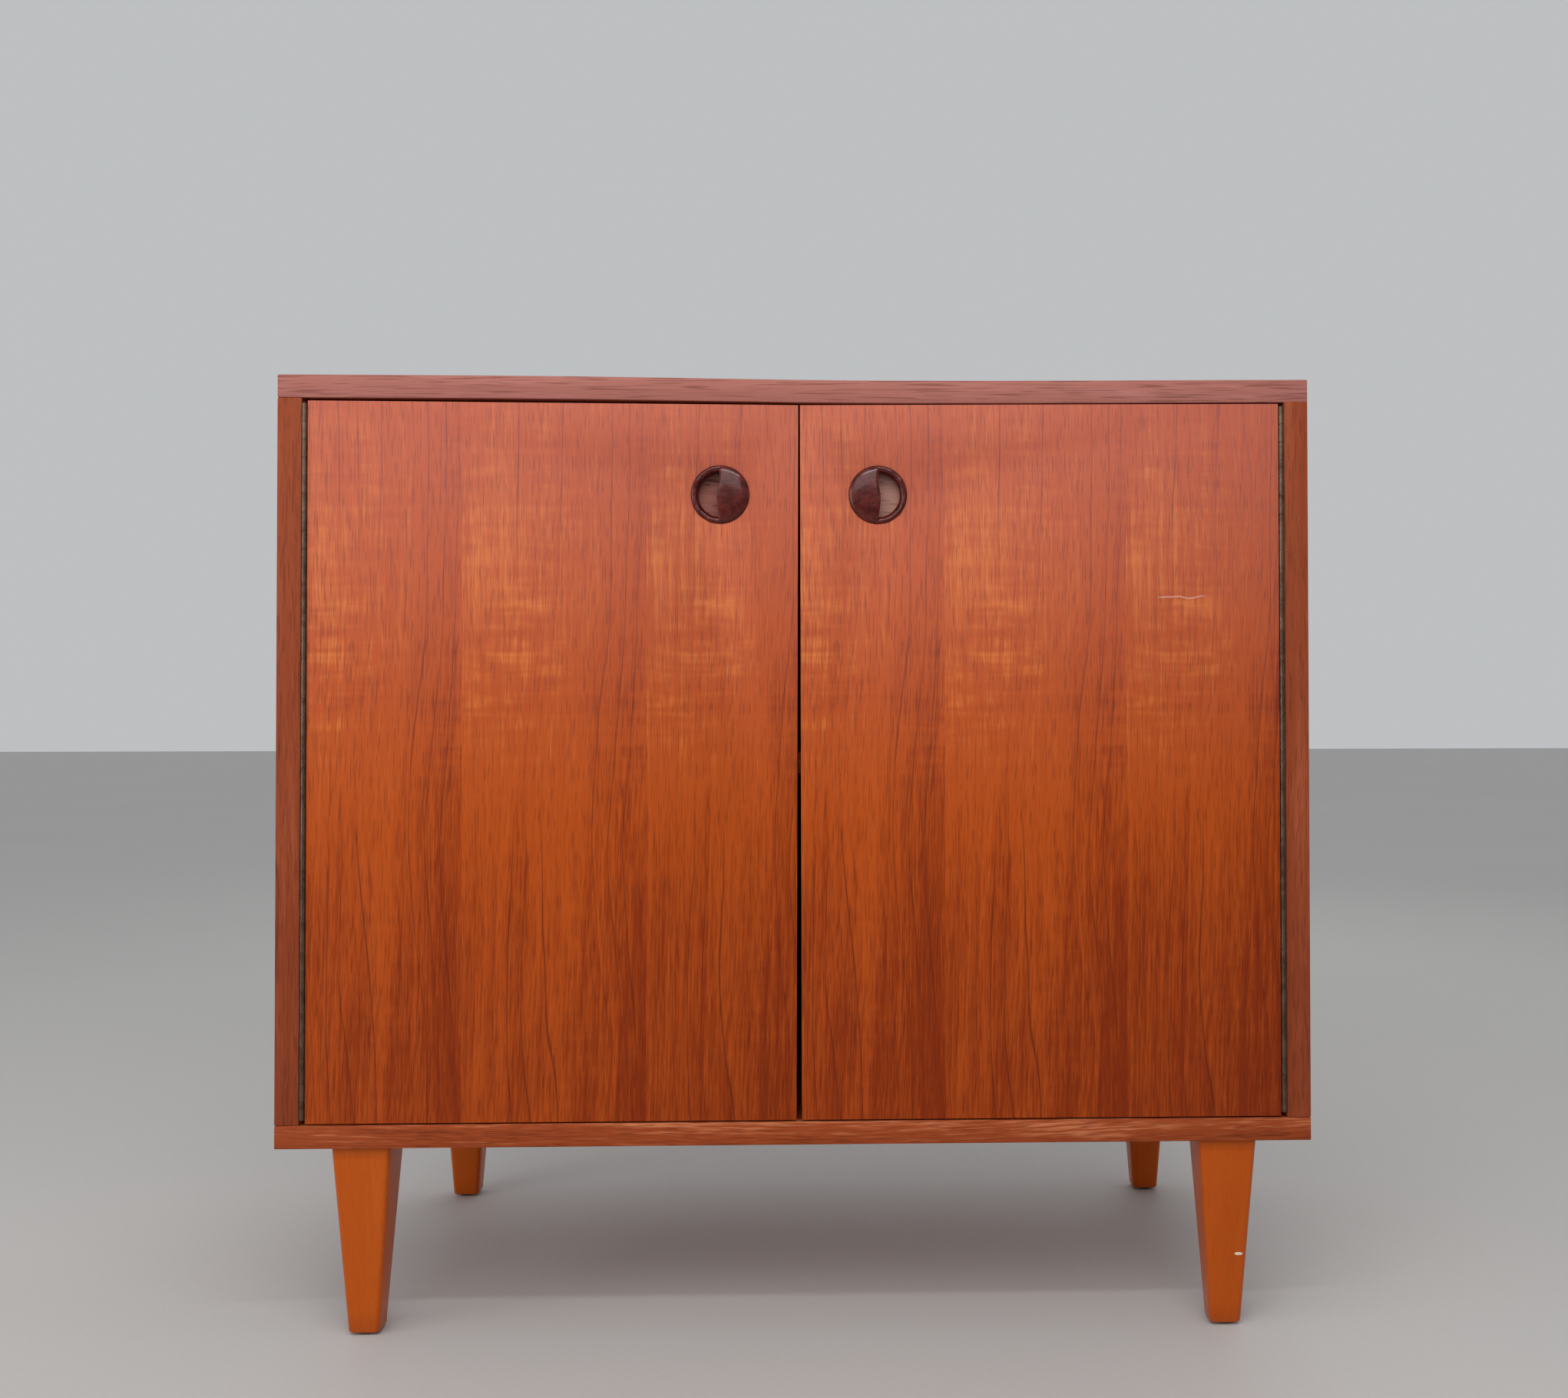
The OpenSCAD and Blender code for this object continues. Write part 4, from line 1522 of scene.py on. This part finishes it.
@dataclass
class FingerPull:
    """A round pull: a rough rim, a domed half and a hollow half.

    The rim's section is (distance inwards, height out of the door), with None for the back.
    Its start and sweep are in half turns. The cut edge is the dome's straight side.
    """

    palette: Palette
    hand: Hand
    cols: int = 26
    steps: int = 72
    wall: float = 0.0060
    proud: float = 0.005
    lip: float = 0.0018
    rim_start: float = 0.465
    rim_sweep: float = 1.07
    rim_rough: float = 0.00055
    cut_place: float = -0.0011
    cut_wave: float = 0.0013
    cut_rough: float = 0.0004
    cut_round: float = 0.0009
    dome_share: float = 0.97
    dome_power: tuple[float, float] = (3.0, 0.58)
    dome_rough: float = 0.00015
    middle: Vector = field(init=False)
    radius: float = field(init=False)
    back: float = field(init=False)
    to_meeting: float = field(init=False)

    def __post_init__(self) -> None:
        """Takes the pull's place and size from its CAD node."""
        low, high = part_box(self.node)
        self.middle = (low + high) / 2
        self.radius = (high.x - low.x) / 2
        self.back = high.y
        self.to_meeting = 1.0 if self.hand is Hand.LEFT else -1.0

    @property
    def node(self) -> str:
        """Returns the name of the pull's CAD node."""
        return f"{self.hand}_finger_pull"

    def build(self) -> None:
        """Makes the pull."""
        bm = bmesh.new()
        self._rim(bm)
        self._dome(bm)
        pull = from_bmesh(f"{self.hand}_pull_cast", bm, [self.palette["pull"]], outward=True,
                          smooth=60.0)
        dress(pull, f"{self.hand}_door", "pull_wood", self.node)

    def _rough(self, point: Vector, size: float) -> float:
        """Returns a small uneven height at a point."""
        return size * noise.noise(point * 210.0) + size * 0.35 * noise.noise(point * 600.0)

    def _rim(self, bm: bmesh.types.BMesh) -> None:
        """Sweeps the rim's section round the hollow half, and a little under the dome.

        Args:
            bm: the pull's mesh.
        """
        section = [(0.0, None), (0.0, 0.0), (0.0005, 0.0010), (0.0016, 0.0017),
                   (0.0028, self.lip), (0.0041, 0.0012), (0.0052, 0.0), (self.wall, -0.0018),
                   (self.wall, None)]
        rings = []
        for i in range(self.steps + 1):
            a = math.pi * (self.rim_start + self.rim_sweep * i / self.steps)
            ring = []
            for inward, out in section:
                rough = self._rough(Vector((a * 0.018, inward, 0.3)), self.rim_rough)
                r = self.radius - inward
                if 0.0 < inward < self.wall:
                    r += rough * 0.5
                y = self.back if out is None else FRONT - out - (rough if out > 0 else 0.0)
                ring.append(bm.verts.new((
                    self.middle.x + self.to_meeting * r * math.cos(a), y,
                    self.middle.z + r * math.sin(a))))
            rings.append(ring)
        bridge(bm, rings)
        bm.faces.new(rings[0])
        bm.faces.new(list(reversed(rings[-1])))

    def _edge(self, z: float) -> float:
        """Finds where the dome's cut edge lies across.

        Args:
            z: height from the pull's middle.

        Returns:
            Its place across from the pull's middle.
        """
        t = z / self.radius
        wave = self.cut_wave * math.sin(t * 3.6 - 0.9) * (1 - t * t)
        return self.cut_place + wave + self._rough(Vector((0.1, z, 0.7)), self.cut_rough)

    def _height(self, x: float, z: float) -> float:
        """Finds how far the dome stands out of the door.

        Args:
            x: place across from the pull's middle.
            z: height from the pull's middle.

        Returns:
            The distance.
        """
        inner, outer = self.dome_power
        t = min(1.0, math.hypot(x, z) / self.radius)
        cap = self.proud * (1 - t ** inner) ** outer
        return cap * self.dome_share + self._rough(Vector((x, 0.2, z)), self.dome_rough) * (1 - t)

    def _dome(self, bm: bmesh.types.BMesh) -> None:
        """Builds the domed half as a closed shell, from its cut edge to the rim.

        Args:
            bm: the pull's mesh.
        """
        rows, cols = self.steps // 2, self.cols
        pole = 0.9995
        front, back = [], []
        for i in range(rows + 1):
            z = self.radius * math.sin(math.pi / 2 * (2 * i / rows - 1)) * pole
            reach = math.sqrt(max(0.0, self.radius ** 2 - z * z))
            first = max(min(self._edge(z), reach - 1e-5), -reach)
            line_front, line_back = [], []
            for j in range(cols + 1):
                x = first + (reach - first) * math.sin(math.pi / 2 * j / cols)
                place = self.middle.x + self.to_meeting * x
                round_off = self.cut_round * max(0.0, 1 - j / 3.0) ** 2
                out = max(self._height(x, z) - round_off, 0.0)
                line_front.append(bm.verts.new((place, FRONT - out, self.middle.z + z)))
                line_back.append(bm.verts.new((place, self.back, self.middle.z + z)))
            front.append(line_front)
            back.append(line_back)
        for grid, order in ((front, 1), (back, -1)):
            for a, b in zip(grid, grid[1:]):
                for j in range(cols):
                    bm.faces.new((a[j], a[j + 1], b[j + 1], b[j])[::order])
        for i in range(rows):
            for j in (0, cols):
                bm.faces.new((front[i][j], front[i + 1][j], back[i + 1][j], back[i][j]))
        for i in (0, rows):
            for j in range(cols):
                bm.faces.new((front[i][j], front[i][j + 1], back[i][j + 1], back[i][j]))


@dataclass
class Door:
    """One veneered door with its pull, hinge and catch plate."""

    palette: Palette
    fasteners: Fasteners
    row: Row
    hand: Hand
    ease: float = 0.0008
    bore_depth: float = 0.010
    bore_margin: float = 0.001
    bore_clearance: float = 0.0004

    def build(self) -> None:
        """Makes the door and all that rides on it."""
        hand, p = self.hand, self.palette
        body = f"{hand}_door"
        pull = FingerPull(p, hand)
        bm = node_bmesh(body)
        ease_edges(bm, self.ease, least=60.0)
        self._mark_bore(bm, pull)
        panel = from_bmesh(f"{hand}_door_board", bm, [p[body], p[f"bore_{hand}"]], smooth=40.0)
        dress(panel, body, "door_veneer", body)
        pull.build()
        LongHinge(p, self.fasteners, self.row, f"{hand}_hinge_pin",
                  (f"{hand}_hinge_frame_leaf", f"{hand}_hinge_frame_screws"),
                  (f"{hand}_hinge_door_leaf", f"{hand}_hinge_door_screws"), body).build()
        board(f"{hand}_catch_strike", f"{hand}_catch_plate", body, "plain_steel", p["steel"],
              TIGHT_EASE)
        self.fasteners.screws(f"{hand}_pull_screw", body, p["screw"])

    def _mark_bore(self, bm: bmesh.types.BMesh, pull: FingerPull) -> None:
        """Gives the floor and wall of the pull's bore their own material.

        Args:
            bm: the door's mesh.
            pull: the pull that sits in the bore.
        """
        first, last = FRONT + self.bore_margin, FRONT + self.bore_depth + self.bore_margin
        for face in bm.faces:
            away = face.calc_center_median() - pull.middle
            near = math.hypot(away.x, away.z) < pull.radius + self.bore_clearance
            if near and first < face.calc_center_median().y < last:
                face.material_index = 1


@dataclass
class DoorFittings:
    """The thread rack on the left door and the tray on the right one."""

    palette: Palette
    fasteners: Fasteners
    ease: float = 0.0012
    peg_radius: float = 0.003

    def build(self) -> None:
        """Makes the rack, its pegs and the tray."""
        beech = self.palette["beech"]
        board("thread_shelf", "thread_rack", "left_door", "beech", beech, self.ease)
        board("bobbin_tray", "door_tray", "right_door", "beech", beech, self.ease)
        spots = []
        for part in islands("thread_pegs"):
            top = max(v.z for v in part)
            middle = sum(part, Vector()) / len(part)
            spots.append(Station(Vector((middle.x, middle.y, top)), Vector((0, 0, 1)),
                                 self.peg_radius, top - min(v.z for v in part)))
        pegs = self.fasteners.fill("thread_peg_set", spots, lathe(PEG_PROFILE, 20), beech)
        dress(pegs, "left_door", "beech", "thread_pegs")


@dataclass
class TopFlap:
    """The flap over the machine opening, on its own continuous hinge."""

    palette: Palette
    fasteners: Fasteners
    row: Row
    ease: float = 0.0008

    def build(self) -> None:
        """Makes the flap and its hinge."""
        board("machine_flap", "top_flap", "flap", "teak_veneer", self.palette["case"], self.ease)
        LongHinge(self.palette, self.fasteners, self.row, "flap_hinge_pin",
                  ("flap_hinge_top_leaf", "flap_hinge_top_screws"),
                  ("flap_hinge_leaf", "flap_hinge_screws"), "flap").build()


@dataclass
class Lift:
    """The platform for the machine with its arms, plates, brackets and pins."""

    palette: Palette
    fasteners: Fasteners
    board_ease: float = 0.0009
    plate_ease: float = 0.0005
    pin_ease: float = 0.0004

    def build(self) -> None:
        """Makes the lift."""
        p = self.palette
        board("machine_platform", "lift_platform", "platform", "platform_veneer",
              p["platform"], self.board_ease)
        for name, node, body in (("front_arm_pair", "front_lift_arms", "front_arms"),
                                 ("rear_arm_pair", "rear_lift_arms", "rear_arms"),
                                 ("end_plates", "platform_end_plates", "platform"),
                                 ("side_brackets", "lift_pivot_brackets", BASE)):
            board(name, node, body, "lift_steel", p["paint"], self.plate_ease)
        for name, node, body in (("side_pivots", "lift_pivot_pins", BASE),
                                 ("platform_pivots", "platform_pivot_pins", "platform")):
            board(name, node, body, "plain_steel", p["steel"], self.pin_ease)
        self.fasteners.screws("platform_plate_screws", "platform", p["screw"])


# -------------------------------------------------------------------- studio


@dataclass(frozen=True)
class Lamp:
    """A soft rectangular light: its middle, the point it faces, its sides and its watts."""

    name: str
    place: tuple[float, float, float]
    aim: tuple[float, float, float]
    size: tuple[float, float]
    power: float

    def hang(self) -> None:
        """Adds the light to the scene."""
        data = bpy.data.lights.new(self.name, "AREA")
        data.shape = "RECTANGLE"
        data.size, data.size_y = self.size
        data.energy = self.power
        light = bpy.data.objects.new(self.name, data)
        light.location = self.place
        facing = Vector(self.aim) - Vector(self.place)
        light.rotation_euler = facing.to_track_quat("-Z", "Y").to_euler()
        bpy.context.scene.collection.objects.link(light)


@dataclass
class Studio:
    """Floor, light and camera."""

    camera_place: tuple[float, float, float] = (0.03827, -1.36362, 0.53536)
    yaw: float = -0.02862
    pitch: float = 0.01598
    roll: float = 0.00122
    focal: float = 37.958
    shift: tuple[float, float] = (-0.0681, -0.0261)
    floor_colour: Colour = (0.50, 0.485, 0.47)
    sky: Colour = (0.80, 0.82, 0.84)
    sky_strength: float = 0.64
    floor_half: float = 12.0
    floor_variation: float = 1.08
    sensor: float = 36.0

    def build(self) -> None:
        """Sets up everything that isn't the table."""
        self._floor()
        for lamp in (
                Lamp("key_panel", (-0.3, FRONT - 1.9, 1.75), (0.0, FRONT, 0.62), (2.6, 1.3), 23.5),
                Lamp("strip_lamp", (0.1, FRONT - 1.0, 1.75), (0.0, FRONT, 0.65), (1.3, 0.07), 7.5),
                Lamp("fill_left", (-2.2, FRONT - 1.2, 0.8), (-0.2, FRONT, 0.25), (1.2, 1.4), 14.0),
                Lamp("back_rim", (0.6, 2.1, 1.9), (0.0, 0.2, 0.6), (2.2, 1.2), 7.0)):
            lamp.hang()
        self._sky()
        self._camera()
        bpy.context.scene.view_settings.view_transform = "Standard"

    def _floor(self) -> None:
        """Lays a wide pale floor."""
        g = Graph("floor_plaster")
        place = g.place()
        cloud = g.noise(place, 1.3, 4.0, 0.6)
        fine = g.noise(place, 160.0, 3.0, 0.6)
        pale = tuple(v * self.floor_variation for v in self.floor_colour)
        colour = g.mix(cloud, self.floor_colour, pale)
        g.bump(fine, 0.0003, 0.5)
        g.set(Base_Color=colour, Roughness=g.step(fine, 0.3, 0.7, (0.55, 0.7)))
        bm = bmesh.new()
        bmesh.ops.create_grid(bm, x_segments=4, y_segments=4, size=self.floor_half)
        floor = from_bmesh("studio_floor", bm, [g.material])

    def _sky(self) -> None:
        """Lights the scene evenly from all round."""
        world = bpy.data.worlds.new("studio_sky")
        world.use_nodes = True
        back = world.node_tree.nodes["Background"]
        back.inputs[0].default_value = (*self.sky, 1.0)
        back.inputs[1].default_value = self.sky_strength
        bpy.context.scene.world = world

    def _camera(self) -> None:
        """Places the camera in front of the doors, at half height."""
        turn = (Matrix.Rotation(self.yaw, 3, "Z") @ Matrix.Rotation(self.pitch, 3, "X")
                @ Matrix.Rotation(self.roll, 3, "Y"))
        right, ahead, up = (turn @ Vector(v) for v in ((1, 0, 0), (0, 1, 0), (0, 0, 1)))
        basis = Matrix((right, up, -ahead)).transposed().to_4x4()
        x, y, z = self.camera_place
        data = bpy.data.cameras.new("view_camera")
        data.lens = self.focal
        data.sensor_width = self.sensor
        data.shift_x, data.shift_y = self.shift
        camera = bpy.data.objects.new("view_camera", data)
        camera.matrix_world = Matrix.Translation((x, y + FRONT, z)) @ basis
        bpy.context.scene.collection.objects.link(camera)
        bpy.context.scene.camera = camera


def main() -> None:
    logging.basicConfig(level=logging.INFO, format="%(name)s %(message)s")
    palette = Palette()
    fasteners = Fasteners()
    row = Row()
    Studio().build()
    for part in (Carcass(palette, fasteners), Legs(palette, fasteners),
                 *(Door(palette, fasteners, row, hand) for hand in Hand),
                 DoorFittings(palette, fasteners), TopFlap(palette, fasteners, row),
                 Lift(palette, fasteners)):
        part.build()


if __name__ == "__main__":
    main()
